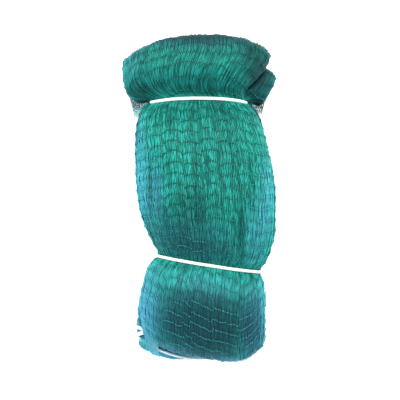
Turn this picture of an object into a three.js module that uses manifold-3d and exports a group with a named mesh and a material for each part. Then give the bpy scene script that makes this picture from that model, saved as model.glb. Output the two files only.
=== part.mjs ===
// A fishing net, drawn out lengthwise until its meshes close, folded back and forth into a flat bundle and
// bound with three white cords. The bundle lies on its back on a flat surface.
// Units are millimetres. +X runs to the right across the bundle, +Y runs along it to the head, and +Z is up.
// The origin is on the resting face, under the middle of the bundle.
import * as THREE from "three";
import { mergeVertices } from "three/addons/utils/BufferGeometryUtils.js";
import Module from "manifold-3d";

const wasm = await Module();
wasm.setup();

// A table with named columns, as one object for each row.
function table(columns, rows) {
  const names = columns.split(" ");
  return rows.map((row) => Object.fromEntries(names.map((name, i) => [name, row[i]])));
}

// Driving dimensions
const LAYER_GAP = 1.8; // between two layers of the folded net
const FOLD_GAP = 5.5; // the same, where a fold turns and the net springs open
const EDGE_SPREAD = 3; // how much wider than itself a layer carries the one above, to keep their edges apart
const DRAPE = 0.9; // the share of an overhang over which the upper layer slopes down
const GAP_FADE = 10; // how far past the lower layer's edge the gap closes
const EDGE_SHAPE = 2.6; // exponent of the rounded section of a layer: 2 is an ellipse, more is boxier
const FOLD_REACH = 1.12; // a fold's length against its half height
const FOLD_STEPS = 6; // facets round a fold
const ACROSS = 16; // facets across a layer
const TAIL_TAPER = 14; // the length over which the free end of the last layer thins out
const TAIL_EDGE = 0.02; // how thin it ends, as the square of a share
const CORD = { across: 5.4, deep: 4.2 }; // a cord's section: it is pressed a little flat
const CORD_CLEAR = 0.45; // between a cord and the net under it
const CORD_BITE = 0.95; // how much wider than the cord its groove in the net is, all round
const CORD_FACETS = { steps: 40, sides: 8, grooveSides: 6, endSides: 6 };
const ARC_STEPS = 600; // steps in which the length round a tie is measured
const KNOT = { along: 5.6, out: 4.6, across: 5 }; // half sizes of a knot
const KNOT_FACETS = { round: 12, high: 8 };

// The hidden first layer is thinner. It and the gap over it start in these spans along the bundle.
const INNER = { share: 0.85, from: 180, to: 205, gapFrom: 176, gapTo: 190 };
const NET_COLOUR = 0x1c7a6c;
const CORD_COLOUR = 0xf2f3f0;

// One row for each cross-section, from the head to the foot, by its place along the bundle.
// The layers follow two outlines, front and back, each with a left and a right edge.
const OUTLINES = table("at frontLeft frontRight backLeft backRight", [
  [262, -110, 112, -107, 108],
  [250, -120, 117, -117, 120],
  [238, -125, 118, -122, 126],
  [214, -129, 104, -126, 132],
  [196, -125, 86, -122, 118],
  [183, -112, 76, -109, 105],
  [175, -97, 75, -94, 94],
  [168, -82, 77, -80, 77],
  [161, -92, 87, -89, 86],
  [150, -100, 95, -97, 94],
  [130, -105, 103, -102, 102],
  [95, -108, 112, -105, 113],
  [50, -107, 121, -104, 120],
  [5, -104, 126, -101, 122],
  [-36, -97, 126, -94, 121],
  [-70, -85, 119, -83, 114],
  [-88, -77, 111, -76, 107],
  [-99, -71, 104, -70, 101],
  [-106, -70, 101, -68, 99],
  [-113, -77, 104, -75, 101],
  [-124, -86, 108, -84, 104],
  [-148, -94, 110, -95, 106],
  [-185, -101, 109, -104, 105],
  [-215, -99, 109, -108, 102],
  [-238, -92, 108, -109, 97],
  [-266, -82, 104, -103, 84],
]);

// layer is half the thickness of one layer, lift the height of the underside in the middle, where below 0 is
// pressed flat, and rise how much higher the underside is at its sides.
const BODY = table("at layer lift rise", [
  [262, 9.2, 7.5, 26],
  [250, 9.8, 3, 28],
  [238, 10.0, -1.5, 31],
  [214, 10.4, -1.5, 32],
  [196, 10.2, -1.5, 31],
  [183, 9.2, 1, 27],
  [175, 7.7, 5, 21],
  [168, 7.0, 8.5, 17],
  [161, 7.9, 5.5, 19],
  [150, 9.8, 1, 23],
  [130, 11.8, -1.5, 28],
  [95, 13.0, -1.5, 31],
  [50, 13.4, -1.5, 32],
  [5, 13.4, -1.5, 32],
  [-36, 12.8, -1.5, 30],
  [-70, 11.2, -1, 26],
  [-88, 9.4, 2, 22],
  [-99, 7.8, 6, 18],
  [-106, 7.0, 8.5, 16],
  [-113, 8.0, 5.5, 18],
  [-124, 9.8, 1, 22],
  [-148, 11.7, -1.5, 26],
  [-185, 12.2, -1.5, 28],
  [-215, 11.4, -1.5, 27],
  [-238, 9.6, 2, 23],
  [-266, 8.0, 7, 20],
]);

// How far the head's rim hangs back over the upper tie, at the left and at the right.
const DROOP = table("at left right", [
  [238, 0, 0],
  [214, 4, 4],
  [196, 13, 14],
  [183, 18, 21],
  [175, 12, 16],
  [168, 8, 8],
  [161, 3, 3],
  [150, 0, 0],
]);
const DROOP_LEFT = { from: -82, to: -125 }; // the places across between which the droop sets in
const DROOP_RIGHT = { from: 77, to: 115 };

// How much each cross-section leans towards the foot, per unit across.
const LEAN = table("at lean", [
  [95, 0],
  [50, 0.01],
  [5, 0.03],
  [-36, 0.08],
  [-70, 0.13],
  [-88, 0.15],
  [-99, 0.158],
  [-113, 0.158],
  [-124, 0.155],
  [-148, 0.145],
  [-185, 0.13],
  [-215, 0.12],
  [-266, 0.12],
]);

// Where each fold turns: its place along the bundle, the place across the layer, from -1 to 1, that reaches
// furthest, how far the left and the right corner fall short of it, and how sharply.
const TURNS = {
  head: { at: 250, furthest: 0.15, left: 27, right: 14, power: 2.6 },
  lobe: { at: 212, furthest: 0.6, left: 16, right: 4, power: 2.4 },
  footFront: { at: -242, furthest: 0.42, left: 14, right: 30, power: 2.2 },
  footBack: { at: -265.5, furthest: -0.52, left: 9, right: 42, power: 1.9 },
  headInner: { at: 189, furthest: 0, left: 0, right: 0, power: 2 },
  tail: { at: 238, furthest: 0, left: 22, right: 22, power: 2.4 },
};

// The places along the bundle where a layer has a row of points. They crowd at the ties.
const ROWS = [
  232, 216, 201, 189, 180, 173.5, 168, 162.5, 156, 146, 130, 102, 54, 4, -42, -74, -90, -98, -102, -106,
  -110, -114.5, -124, -139, -164, -194, -218, -232,
];
const HEAD_SAFE = 196; // rows nearer the head than this are drawn in to meet the fold
const FOOT_SAFE = -205; // rows nearer the foot likewise
const ROW_MARGIN = 4; // no row is nearer than this to the middle of a fold

const CHANGEOVER = { from: -190, to: -60 }; // where the second layer leaves the front's outline for the back's

// The layers in the order in which the net runs, with the turns at their two ends.
const LAYERS = {
  inner: { outline: "front", from: "headInner", to: "head", up: true },
  front: { outline: "front", from: "head", to: "footFront", up: false },
  second: { outline: "second", from: "footFront", to: "lobe", up: true },
  third: { outline: "back", from: "lobe", to: "footBack", up: false },
  fourth: { outline: "back", from: "footBack", to: "tail", up: true },
};
const STACK = ["fourth", "third", "second", "inner", "front"]; // from the resting surface upwards

// Where a gap opens towards a fold, by the layer below it, and how far: 1 is all the way to FOLD_GAP.
const OPENINGS = [
  { over: "inner", from: 215, to: 245, share: 1 },
  { over: "second", from: -205, to: -235, share: 1 },
  { over: "second", from: 185, to: 215, share: 1.2 },
  { over: "third", from: 170, to: 205, share: 1 },
  { over: "fourth", from: -225, to: -255, share: 1 },
];

// The soft creases of the front layer: place across, width and length along the bundle, and share of the
// thickness.
const CREASES = [
  { across: -0.04, wide: 0.13, from: 120, to: -75, deep: 0.1 },
  { across: -0.72, wide: 0.14, from: 80, to: -80, deep: 0.12 },
  { across: 0.5, wide: 0.15, from: 10, to: -98, deep: 0.15 },
  { across: 0.56, wide: 0.14, from: -135, to: -238, deep: 0.13 },
  { across: -0.5, wide: 0.14, from: -130, to: -236, deep: 0.1 },
  { across: 0.3, wide: 0.14, from: 246, to: 180, deep: 0.1 },
  { across: -0.45, wide: 0.15, from: 246, to: 182, deep: 0.1 },
];
const CREASE_FADE = 30; // the length over which a crease runs out at either end

// The ties, by where each lies along the bundle, how it slants and bows across, the height that it stays
// under, its cord's size against CORD, and the direction its knot sits in, in degrees from +X towards +Z.
const TIES = {
  upper_tie: { along: 168, slant: 0, bow: 0, bowAt: 0, top: Infinity, size: 1, knotAt: 207 },
  middle_tie: { along: -106, slant: -0.158, bow: 0, bowAt: 0, top: Infinity, size: 1, knotAt: -27 },
  end_tie: { along: -276, slant: 0, bow: 0.0022, bowAt: 25, top: 50, size: 0.76, knotAt: 182 },
};

// The cord ends that leave each knot. The first two ties have two cut ends each, tucked into the waist, as
// offsets from the knot. The end tie has a small bow loop and a short tail, as places in the part's frame.
const CUT_ENDS = {
  upper_tie: [
    [[-8, -5, -2], [-13, -7, -4]],
    [[-8, 4, -3], [-12, 7, -5]],
  ],
  middle_tie: [
    [[7, -5, -1], [12, -7, -3]],
    [[7, 4, -2], [11, 7, -4]],
  ],
};
const BOW_LOOP = [[-110, -221, 38], [-105.5, -218, 45], [-94.5, -223.5, 50], [-103, -228.5, 45]];
const TAIL = [[-111, -217, 33], [-110, -207, 39], [-107, -198, 44]];

const clamp = (value, low, high) => Math.min(high, Math.max(low, value));

// 0 on the one side of a span and 1 on the other, with an eased change between. The span may run either way.
function smooth(from, to, value) {
  const share = clamp((value - from) / (to - from), 0, 1);
  return share * share * (3 - 2 * share);
}

// A curve through one column of a table that never overshoots its rows.
function columnCurve(rows, name) {
  const upwards = [...rows].reverse();
  const x = upwards.map((row) => row.at);
  const y = upwards.map((row) => row[name]);
  const step = x.slice(1).map((value, i) => (y[i + 1] - y[i]) / (value - x[i]));
  const slope = y.map((_, i) => {
    if (i === 0 || i === y.length - 1 || step[i - 1] * step[i] <= 0) return 0;
    const nearer = 2 * (x[i + 1] - x[i]) + (x[i] - x[i - 1]);
    const further = x[i + 1] - x[i] + 2 * (x[i] - x[i - 1]);
    return (nearer + further) / (nearer / step[i - 1] + further / step[i]);
  });
  return (at) => {
    const place = clamp(at, x[0], x[x.length - 1]);
    const i = Math.max(0, place < x[x.length - 1] ? x.findIndex((value) => value > place) - 1 : x.length - 2);
    const wide = x[i + 1] - x[i];
    const t = (place - x[i]) / wide;
    const start = y[i] * (1 + 2 * t) * (1 - t) ** 2 + slope[i] * wide * t * (1 - t) ** 2;
    return start + y[i + 1] * t * t * (3 - 2 * t) + slope[i + 1] * wide * t * t * (t - 1);
  };
}

// The curves of a table, by column.
function curvesOf(rows) {
  const names = Object.keys(rows[0]).filter((name) => name !== "at");
  return Object.fromEntries(names.map((name) => [name, columnCurve(rows, name)]));
}

const outlines = curvesOf(OUTLINES);
const body = curvesOf(BODY);
const droop = curvesOf(DROOP);
const { lean } = curvesOf(LEAN);

// The left and right edge of an outline. The second layer goes over from the front's outline to the back's.
function edges(outline, at) {
  const front = [outlines.frontLeft(at), outlines.frontRight(at)];
  const back = [outlines.backLeft(at), outlines.backRight(at)];
  if (outline === "front") return front;
  if (outline === "back") return back;
  const share = smooth(CHANGEOVER.from, CHANGEOVER.to, at);
  return [0, 1].map((i) => THREE.MathUtils.lerp(front[i], back[i], share));
}

const middleAndHalf = ([left, right]) => [(left + right) / 2, (right - left) / 2];

// 1 in the middle of a layer, falling to 0 at its edges.
const crown = (across) => (1 - Math.min(1, Math.abs(across)) ** EDGE_SHAPE) ** (1 / EDGE_SHAPE);

// The share of the front layer's thickness that its creases take away.
function crease(across, at) {
  return CREASES.reduce((sum, row) => {
    const along = smooth(row.to, row.to + CREASE_FADE, at) * smooth(row.from, row.from - CREASE_FADE, at);
    return sum + row.deep * along * Math.exp(-(((across - row.across) / row.wide) ** 2));
  }, 0);
}

// Half the thickness of a layer at a place across it, from -1 to 1, and along it.
function halfThickness(name, across, at) {
  let half = body.layer(at) * crown(across);
  if (name === "front") half *= 1 - crease(across, at);
  if (name === "inner") half *= INNER.share * smooth(INNER.from, INNER.to, at);
  if (name !== "fourth") return half;
  const left = (turn("tail", clamp(across, -1, 1)) - at) / TAIL_TAPER;
  return half * Math.sqrt(clamp(left, TAIL_EDGE, 1));
}

// The gap over a layer, wider towards the folds.
function gapOver(name, at) {
  const open = OPENINGS.filter((row) => row.over === name)
    .reduce((sum, row) => sum + row.share * smooth(row.from, row.to, at), 0);
  const present = name === "inner" ? smooth(INNER.gapFrom, INNER.gapTo, at) : 1;
  return present * THREE.MathUtils.lerp(LAYER_GAP, FOLD_GAP, open);
}

// The height of a layer's middle surface at a place, found by laying the layers beneath on one another.
function middleHeight(name, x, at) {
  const own = edges(LAYERS[name].outline, at);
  const [bundleMiddle, bundleHalf] = middleAndHalf(edges("back", at));
  let height = body.lift(at) + body.rise(at) * (1 - crown((x - bundleMiddle) / bundleHalf));
  for (const below of STACK) {
    const span = edges(LAYERS[below].outline, at);
    if (below === name) {
      const [middle, half] = middleAndHalf(span);
      return height + halfThickness(name, (x - middle) / half, at);
    }
    const carried = [
      span[0] - EDGE_SPREAD - DRAPE * Math.max(0, span[0] - own[0]),
      span[1] + EDGE_SPREAD + DRAPE * Math.max(0, own[1] - span[1]),
    ];
    const [middle, half] = middleAndHalf(carried);
    const across = (x - middle) / half;
    const past = Math.max(0, (Math.abs(across) - 1) * half);
    height += 2 * halfThickness(below, across, at) + gapOver(below, at) * clamp(1 - past / GAP_FADE, 0, 1);
  }
  throw new Error("no layer is named " + name);
}

// The place along the bundle where a fold turns, for a place across the layer.
function turn(name, across) {
  const row = TURNS[name];
  const away = across - row.furthest;
  const [short, span] = away < 0 ? [row.left, 1 + row.furthest] : [row.right, 1 - row.furthest];
  return row.at - Math.sign(row.at) * short * Math.abs(away / span) ** row.power;
}

// The place along the bundle where a layer ends towards the head (way 1) or the foot (way -1), in its middle
// or at a place across it.
function layerEnd(layer, way, across) {
  const reach = (name) => way * (across === undefined ? TURNS[name].at : turn(name, across));
  return way * Math.max(reach(layer.from), reach(layer.to));
}

// A row's place at one place across a layer: rows near the ends are drawn in so that they stop at the fold.
function rowPlace(layer, row, across) {
  if (row <= HEAD_SAFE && row >= FOOT_SAFE) return row;
  const [way, safe] = row > HEAD_SAFE ? [1, HEAD_SAFE] : [-1, FOOT_SAFE];
  const share = (layerEnd(layer, way, across) - safe) / (layerEnd(layer, way) - safe);
  return safe + (row - safe) * share;
}

// Puts a point of a section into the part's frame: the section leans, and its rim droops over the upper tie.
function place(at, x, z) {
  const left = droop.left(at) * smooth(DROOP_LEFT.from, DROOP_LEFT.to, x);
  const right = droop.right(at) * smooth(DROOP_RIGHT.from, DROOP_RIGHT.to, x);
  return new THREE.Vector3(x, at - lean(at) * x - left - right, Math.max(0, z));
}

// A point of a layer's surface, on its upper side (1) or its lower side (-1).
function pointOnLayer(name, side, across, at) {
  const { outline } = LAYERS[name];
  const [middle, half] = middleAndHalf(edges(outline, at));
  const x = middle + across * half;
  const z = middleHeight(name, x, at) + side * halfThickness(name, across, at);
  return place(at, x, z);
}

// A point of a fold. angle runs from 0 at the upper layer to pi at the lower one, and way is 1 at the head.
function pointOnFold({ upper, lower, turnName, way }, side, across, angle) {
  const at = turn(turnName, across);
  const { outline } = LAYERS[lower];
  const [middle, half] = middleAndHalf(edges(outline, at));
  const x = middle + across * half;
  const heights = [upper, lower].map((name) => middleHeight(name, x, at));
  const share = angle / Math.PI;
  const thick = halfThickness(upper, across, at) * (1 - share) + halfThickness(lower, across, at) * share;
  const radius = (heights[0] - heights[1]) / 2;
  const along = at + way * (FOLD_REACH * radius + side * thick) * Math.sin(angle);
  const z = (heights[0] + heights[1]) / 2 + (radius + side * thick) * Math.cos(angle);
  return place(along, x, z);
}

// Places across a layer, closer together at its rounded edges.
const acrossPlaces = Array.from({ length: ACROSS + 1 }, (_, i) => {
  const even = (2 * i) / ACROSS - 1;
  return 0.45 * even + 0.55 * Math.sin((even * Math.PI) / 2);
});

// The rows of the whole folded net, each a function of the side and the place across.
function netRows() {
  const rows = [];
  const addLayer = (name, sideUp) => {
    const layer = LAYERS[name];
    const [top, bottom] = [layerEnd(layer, 1) - ROW_MARGIN, layerEnd(layer, -1) + ROW_MARGIN];
    const inside = ROWS.filter((row) => row < top && row > bottom);
    const places = layer.up ? [...inside].reverse() : inside;
    const stops = [(across) => turn(layer.from, across)];
    stops.push(...places.map((row) => (across) => rowPlace(layer, row, across)));
    stops.push((across) => turn(layer.to, across));
    stops.forEach((stop) => {
      rows.push((side, across) => pointOnLayer(name, side * sideUp, across, stop(across)));
    });
  };
  const addFold = (upper, lower, turnName, way, sideOut, downwards) => {
    for (let i = 1; i < FOLD_STEPS; i++) {
      const part = (downwards ? i : FOLD_STEPS - i) / FOLD_STEPS;
      rows.push((side, across) =>
        pointOnFold({ upper, lower, turnName, way }, side * sideOut, across, part * Math.PI),
      );
    }
  };
  addLayer("inner", -1);
  addFold("front", "inner", "head", 1, 1, false);
  addLayer("front", 1);
  addFold("front", "second", "footFront", -1, 1, true);
  addLayer("second", -1);
  addFold("second", "third", "lobe", 1, -1, true);
  addLayer("third", 1);
  addFold("third", "fourth", "footBack", -1, 1, true);
  addLayer("fourth", -1);
  return rows;
}

// A closed ring of points round each row: over the one side from left to right, and back over the other.
function ringOf(row) {
  const over = acrossPlaces.map((across) => row(1, across));
  const under = acrossPlaces.slice(1, -1).map((across) => row(-1, across));
  return [...over, ...under.reverse()];
}

// A closed surface through rings with equally many points. Without closed, the two end rings are capped.
function loft(rings, closed) {
  const around = rings[0].length;
  const points = rings.flat().flatMap((point) => [point.x, point.y, point.z]);
  const index = [];
  const links = closed ? rings.length : rings.length - 1;
  for (let i = 0; i < links; i++) {
    for (let j = 0; j < around; j++) {
      const a = i * around + j;
      const b = i * around + ((j + 1) % around);
      const c = ((i + 1) % rings.length) * around + j;
      const d = ((i + 1) % rings.length) * around + ((j + 1) % around);
      index.push(a, d, b, a, c, d);
    }
  }
  if (!closed) {
    const last = (rings.length - 1) * around;
    const across = around / 2;
    for (let j = 1; j <= across; j++) {
      const [a, b, c, d] = [j - 1, j, around - j, (around - j + 1) % around];
      if (j < across) index.push(a, b, c, last + a, last + c, last + b);
      if (j > 1) index.push(a, c, d, last + a, last + d, last + c);
    }
  }
  const geometry = new THREE.BufferGeometry();
  geometry.setAttribute("position", new THREE.Float32BufferAttribute(points, 3));
  geometry.setIndex(index);
  return geometry;
}

function solidOf(geometry) {
  return new wasm.Manifold(
    new wasm.Mesh({
      numProp: 3,
      vertProperties: new Float32Array(geometry.attributes.position.array),
      triVerts: new Uint32Array(geometry.index.array),
    }),
  );
}

function geometryOf(solid) {
  const mesh = solid.getMesh();
  const geometry = new THREE.BufferGeometry();
  geometry.setAttribute("position", new THREE.Float32BufferAttribute(mesh.vertProperties, 3));
  geometry.setIndex(new THREE.Uint32BufferAttribute(mesh.triVerts, 1));
  geometry.computeVertexNormals();
  return geometry;
}

// A tie's place along the bundle at a place across it.
const tieAlong = (tie, x) => tie.along + tie.slant * x + tie.bow * (x - tie.bowAt) ** 2;

// The net's section under a tie at a waist, as points (x, z) of all its layers.
function waistPoints(tie) {
  return STACK.filter((name) => name !== "inner").flatMap((name) =>
    acrossPlaces.flatMap((across) =>
      [-1, 1].map((side) => {
        const point = pointOnLayer(name, side, across, tie.along);
        return new THREE.Vector2(point.x, point.z);
      }),
    ),
  );
}

// The same under a tie near a fold, where the net's surface crosses the tie's plane below the tie's top.
function crossings(rings, tie) {
  const off = (point) => point.y - tieAlong(tie, point.x);
  const found = [];
  for (let i = 1; i < rings.length; i++) {
    rings[i].forEach((point, j) => {
      const before = rings[i - 1][j];
      if (off(point) * off(before) > 0) return;
      const share = off(before) / (off(before) - off(point) || 1);
      const crossing = before.clone().lerp(point, share);
      if (crossing.z < tie.top) found.push(new THREE.Vector2(crossing.x, crossing.z));
    });
  }
  return found;
}

// The path of a taut cord round those points, at a distance from them, with a point for every two degrees.
function tautPath(points, distance) {
  return Array.from({ length: 180 }, (_, i) => {
    const angle = THREE.MathUtils.degToRad(2 * i);
    const out = new THREE.Vector2(Math.cos(angle), Math.sin(angle));
    const furthest = points.reduce((best, point) => (point.dot(out) > best.dot(out) ? point : best));
    return furthest.clone().addScaledVector(out, distance);
  });
}

// The same path with its points evenly apart and its corners eased.
function evenPath(path, steps) {
  const curve = new THREE.CatmullRomCurve3(
    path.map((point) => new THREE.Vector3(point.x, 0, point.y)),
    true,
    "centripetal",
  );
  curve.arcLengthDivisions = ARC_STEPS;
  const even = curve.getSpacedPoints(steps).slice(0, steps);
  return even.map((_, i) => {
    const sum = new THREE.Vector3();
    [-1, 0, 1].forEach((by) => sum.add(even[(i + by + steps) % steps]));
    return sum.divideScalar(3);
  });
}

// A tie's cord as a closed ring with so many sides, grown by extra all round.
function cordRing(path, tie, sides, extra) {
  const along = new THREE.Vector3(-tie.slant, 1, 0).normalize();
  const rings = path.map((point, i) => {
    const out = outward(path, i);
    return Array.from({ length: sides }, (_, j) => {
      const angle = (2 * Math.PI * j) / sides;
      return inFrame(tie, point)
        .addScaledVector(out, Math.cos(angle) * ((CORD.deep / 2) * tie.size + extra))
        .addScaledVector(along, -Math.sin(angle) * ((CORD.across / 2) * tie.size + extra));
    });
  });
  return solidOf(loft(rings, true));
}

// A point of a tie's path, put into the tie's plane.
const inFrame = (tie, point) => new THREE.Vector3(point.x, tieAlong(tie, point.x), point.z);

// The direction away from the net at a point of a tie's path.
function outward(path, i) {
  const run = path[(i + 1) % path.length].clone().sub(path[(i + path.length - 1) % path.length]).normalize();
  return new THREE.Vector3(run.z, 0, -run.x);
}

// A free length of cord through some places, grown by extra all round, with its ends cut square.
function freeCord(places, tie, extra, closed) {
  const curve = new THREE.CatmullRomCurve3(places, closed);
  const steps = 4 * places.length;
  const frames = curve.computeFrenetFrames(steps, closed);
  const radius = ((CORD.across + CORD.deep) / 4) * tie.size + extra;
  const rings = curve.getSpacedPoints(steps).map((point, i) =>
    Array.from({ length: CORD_FACETS.endSides }, (_, j) => {
      const angle = (2 * Math.PI * j) / CORD_FACETS.endSides;
      return point
        .clone()
        .addScaledVector(frames.normals[i], Math.cos(angle) * radius)
        .addScaledVector(frames.binormals[i], -Math.sin(angle) * radius);
    }),
  );
  return solidOf(loft(closed ? rings.slice(0, steps) : rings, closed));
}

// The knot of a tie with the cord ends that leave it, grown by extra all round.
function knotAndEnds(name, path, tie, extra) {
  const middle = path.reduce((sum, point) => sum.add(point), new THREE.Vector3()).divideScalar(path.length);
  const toward = THREE.MathUtils.degToRad(tie.knotAt);
  const aim = new THREE.Vector3(Math.cos(toward), 0, Math.sin(toward));
  const facing = path.map((point) => point.clone().sub(middle).normalize().dot(aim));
  const i = facing.indexOf(Math.max(...facing));
  const out = outward(path, i);
  const centre = inFrame(tie, path[i]).addScaledVector(out, (KNOT.out - CORD.deep / 2) * tie.size);
  const lump = solidOf(joined(new THREE.SphereGeometry(1, KNOT_FACETS.round, KNOT_FACETS.high)))
    .scale([KNOT.out, KNOT.across, KNOT.along].map((half) => half * tie.size + extra))
    .rotate([0, -THREE.MathUtils.radToDeg(Math.atan2(out.z, out.x)), 0])
    .translate([centre.x, centre.y, centre.z]);
  const places = (rows) => rows.map((row) => new THREE.Vector3(...row));
  if (name in CUT_ENDS) {
    return CUT_ENDS[name].reduce((solid, end) => {
      const run = places(end).map((offset) => offset.add(centre));
      return solid.add(freeCord([centre, ...run], tie, extra, false));
    }, lump);
  }
  return lump
    .add(freeCord([centre, ...places(BOW_LOOP)], tie, extra, true))
    .add(freeCord([centre, ...places(TAIL)], tie, extra, false));
}

// A closed geometry whose coinciding points are joined.
function joined(geometry) {
  const bare = geometry.clone();
  bare.deleteAttribute("normal");
  bare.deleteAttribute("uv");
  return mergeVertices(bare, 1e-4);
}

const rings = netRows().map(ringOf);
let net = solidOf(loft(rings, false));

const material = (colour, roughness) =>
  new THREE.MeshStandardMaterial({ color: colour, roughness, metalness: 0 });

const bundle = new THREE.Group();
for (const [name, tie] of Object.entries(TIES)) {
  const points = tie.top === Infinity ? waistPoints(tie) : crossings(rings, tie);
  const path = evenPath(tautPath(points, (CORD.deep / 2) * tie.size + CORD_CLEAR), CORD_FACETS.steps);
  const cord = cordRing(path, tie, CORD_FACETS.sides, 0).add(knotAndEnds(name, path, tie, 0));
  net = net
    .subtract(cordRing(path, tie, CORD_FACETS.grooveSides, CORD_BITE))
    .subtract(knotAndEnds(name, path, tie, CORD_CLEAR));
  const mesh = new THREE.Mesh(geometryOf(cord), material(CORD_COLOUR, 0.8));
  mesh.name = name;
  bundle.add(mesh);
}
const netMesh = new THREE.Mesh(geometryOf(net), material(NET_COLOUR, 0.5));
netMesh.name = "net";
bundle.add(netMesh);

export default bundle;
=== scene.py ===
"""Folded fishing net: fine knotted netting, drawn out lengthwise until its meshes close, folded back and
forth into a flat bundle and bound with three white cords.

Sizes and places are millimetres in the part's own frame: +X to the right across the bundle, +Y along it
towards the head, +Z up from the surface it lies on. Meshes are handed over in metres.
"""

import itertools
import logging
import math
from dataclasses import dataclass
from enum import Enum
from typing import Callable, Iterable, Sequence

import bpy
import numpy as np
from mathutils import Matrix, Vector
from mathutils.bvhtree import BVHTree


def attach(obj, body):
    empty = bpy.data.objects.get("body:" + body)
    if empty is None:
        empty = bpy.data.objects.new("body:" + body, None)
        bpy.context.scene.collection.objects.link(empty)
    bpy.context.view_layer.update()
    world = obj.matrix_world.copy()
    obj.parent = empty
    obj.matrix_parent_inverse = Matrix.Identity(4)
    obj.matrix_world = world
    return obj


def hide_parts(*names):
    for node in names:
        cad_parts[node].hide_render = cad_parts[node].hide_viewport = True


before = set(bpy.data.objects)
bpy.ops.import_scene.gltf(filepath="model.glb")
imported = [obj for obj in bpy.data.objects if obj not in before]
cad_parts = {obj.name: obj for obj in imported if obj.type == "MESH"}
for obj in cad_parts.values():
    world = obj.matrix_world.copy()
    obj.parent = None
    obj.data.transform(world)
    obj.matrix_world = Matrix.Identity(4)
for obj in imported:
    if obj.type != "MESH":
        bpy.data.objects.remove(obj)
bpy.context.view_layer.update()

log = logging.getLogger("folded_net")

MM = 0.001

Array = np.ndarray
Values = dict[str, float | int | bool | str | tuple]


# Small helpers

def smooth(start: float, stop: float, value: Array | float) -> Array:
    """Ease from 0 to 1 over a span, which may run either way.

    Args:
        start: where the result is 0.
        stop: where the result is 1.
        value: the places to evaluate.

    Returns:
        The eased share at each place.
    """
    share = np.clip((np.asarray(value, float) - start) / (stop - start), 0, 1)
    return share * share * (3 - 2 * share)


def linear_colour(hex_colour: str) -> tuple[float, float, float, float]:
    """Turn an sRGB hex colour into the linear, opaque colour that shaders take.

    Args:
        hex_colour: six hexadecimal digits, such as "1f9e8c".

    Returns:
        Linear red, green, blue and alpha.
    """
    shares = [int(hex_colour[i : i + 2], 16) / 255 for i in (0, 2, 4)]
    linear = [s / 12.92 if s <= 0.04045 else ((s + 0.055) / 1.055) ** 2.4 for s in shares]
    return (*linear, 1.0)


def unit(vectors: Array) -> Array:
    """Scale vectors to a length of one."""
    return vectors / np.maximum(np.linalg.norm(vectors, axis=-1, keepdims=True), 1e-9)


def mesh_object(name: str, points: Array, faces: Array, flat: bool = False) -> bpy.types.Object:
    """Make an object from points in millimetres and faces of one size.

    Args:
        name: the object's name.
        points: an array of shape (n, 3).
        faces: an array of point numbers of shape (m, corners).
        flat: leave the faces flat instead of smooth.

    Returns:
        The new object, linked to the scene.
    """
    mesh = bpy.data.meshes.new(name)
    mesh.vertices.add(len(points))
    mesh.vertices.foreach_set("co", (points * MM).astype(np.float32).ravel())
    corners = faces.shape[1]
    mesh.loops.add(faces.size)
    mesh.loops.foreach_set("vertex_index", faces.astype(np.int32).ravel())
    mesh.polygons.add(len(faces))
    mesh.polygons.foreach_set("loop_start", np.arange(0, faces.size, corners, dtype=np.int32))
    mesh.polygons.foreach_set("use_smooth", np.full(len(faces), not flat))
    mesh.update(calc_edges=True)
    mesh.validate()
    made = bpy.data.objects.new(name, mesh)
    bpy.context.scene.collection.objects.link(made)
    return made


def mesh_in_mm(piece: bpy.types.Object) -> tuple[Array, Array]:
    """Read a piece that is made of triangles.

    Args:
        piece: the object.

    Returns:
        Its points, in millimetres, and its triangles.
    """
    points = np.empty(3 * len(piece.data.vertices), np.float32)
    faces = np.empty(3 * len(piece.data.polygons), np.int32)
    piece.data.vertices.foreach_get("co", points)
    piece.data.polygons.foreach_get("vertices", faces)
    return points.reshape(-1, 3) / MM, faces.reshape(-1, 3)


def store_values(target: bpy.types.Object, **values: Array) -> None:
    """Store numbers for each point of a mesh, for its material to read.

    Args:
        target: the object.
        values: one number for each point, by the name that the material asks for.
    """
    for name, numbers in values.items():
        attribute = target.data.attributes.new(name, "FLOAT", "POINT")
        attribute.data.foreach_set("value", numbers.astype(np.float32).ravel())


NOISE_CELLS = 257  # how many cells the pattern below has each way before it repeats


def soft_noise(seed: int, across: Array, along: Array, cell: tuple[float, float]) -> Array:
    """Evaluate smooth random values from -1 to 1 on a plane.

    Args:
        seed: chooses the pattern.
        across: places in the first direction.
        along: places in the second direction.
        cell: the size of a cell of the pattern in both directions.

    Returns:
        The value at each place.
    """
    lattice = np.random.default_rng(seed).uniform(-1, 1, (NOISE_CELLS, NOISE_CELLS))
    u, v = across / cell[0], along / cell[1]
    i, j = np.floor(u).astype(int), np.floor(v).astype(int)
    s, t = smooth(0, 1, u - i), smooth(0, 1, v - j)

    def corner(right: int, up: int) -> Array:
        """Give the value at one corner of each place's cell."""
        return lattice[(i + right) % NOISE_CELLS, (j + up) % NOISE_CELLS]

    low = corner(0, 0) * (1 - s) + corner(1, 0) * s
    high = corner(0, 1) * (1 - s) + corner(1, 1) * s
    return low * (1 - t) + high * t


def cubic(values: Array, slopes: Array, i: Array, wide: Array, share: Array) -> Array:
    """Evaluate a cubic curve between two rows of a table.

    Args:
        values: the value at each row.
        slopes: the slope at each row.
        i: the row before each place.
        wide: how far apart the rows before and after it are.
        share: how far it lies from the one to the other, from 0 to 1.

    Returns:
        The curve's value at each place.
    """
    back = 1 - share
    start = values[i] * (1 + 2 * share) * back**2 + slopes[i] * wide * share * back**2
    stop = values[i + 1] * share * share * (3 - 2 * share)
    return start + stop + slopes[i + 1] * wide * share * share * (share - 1)


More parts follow.
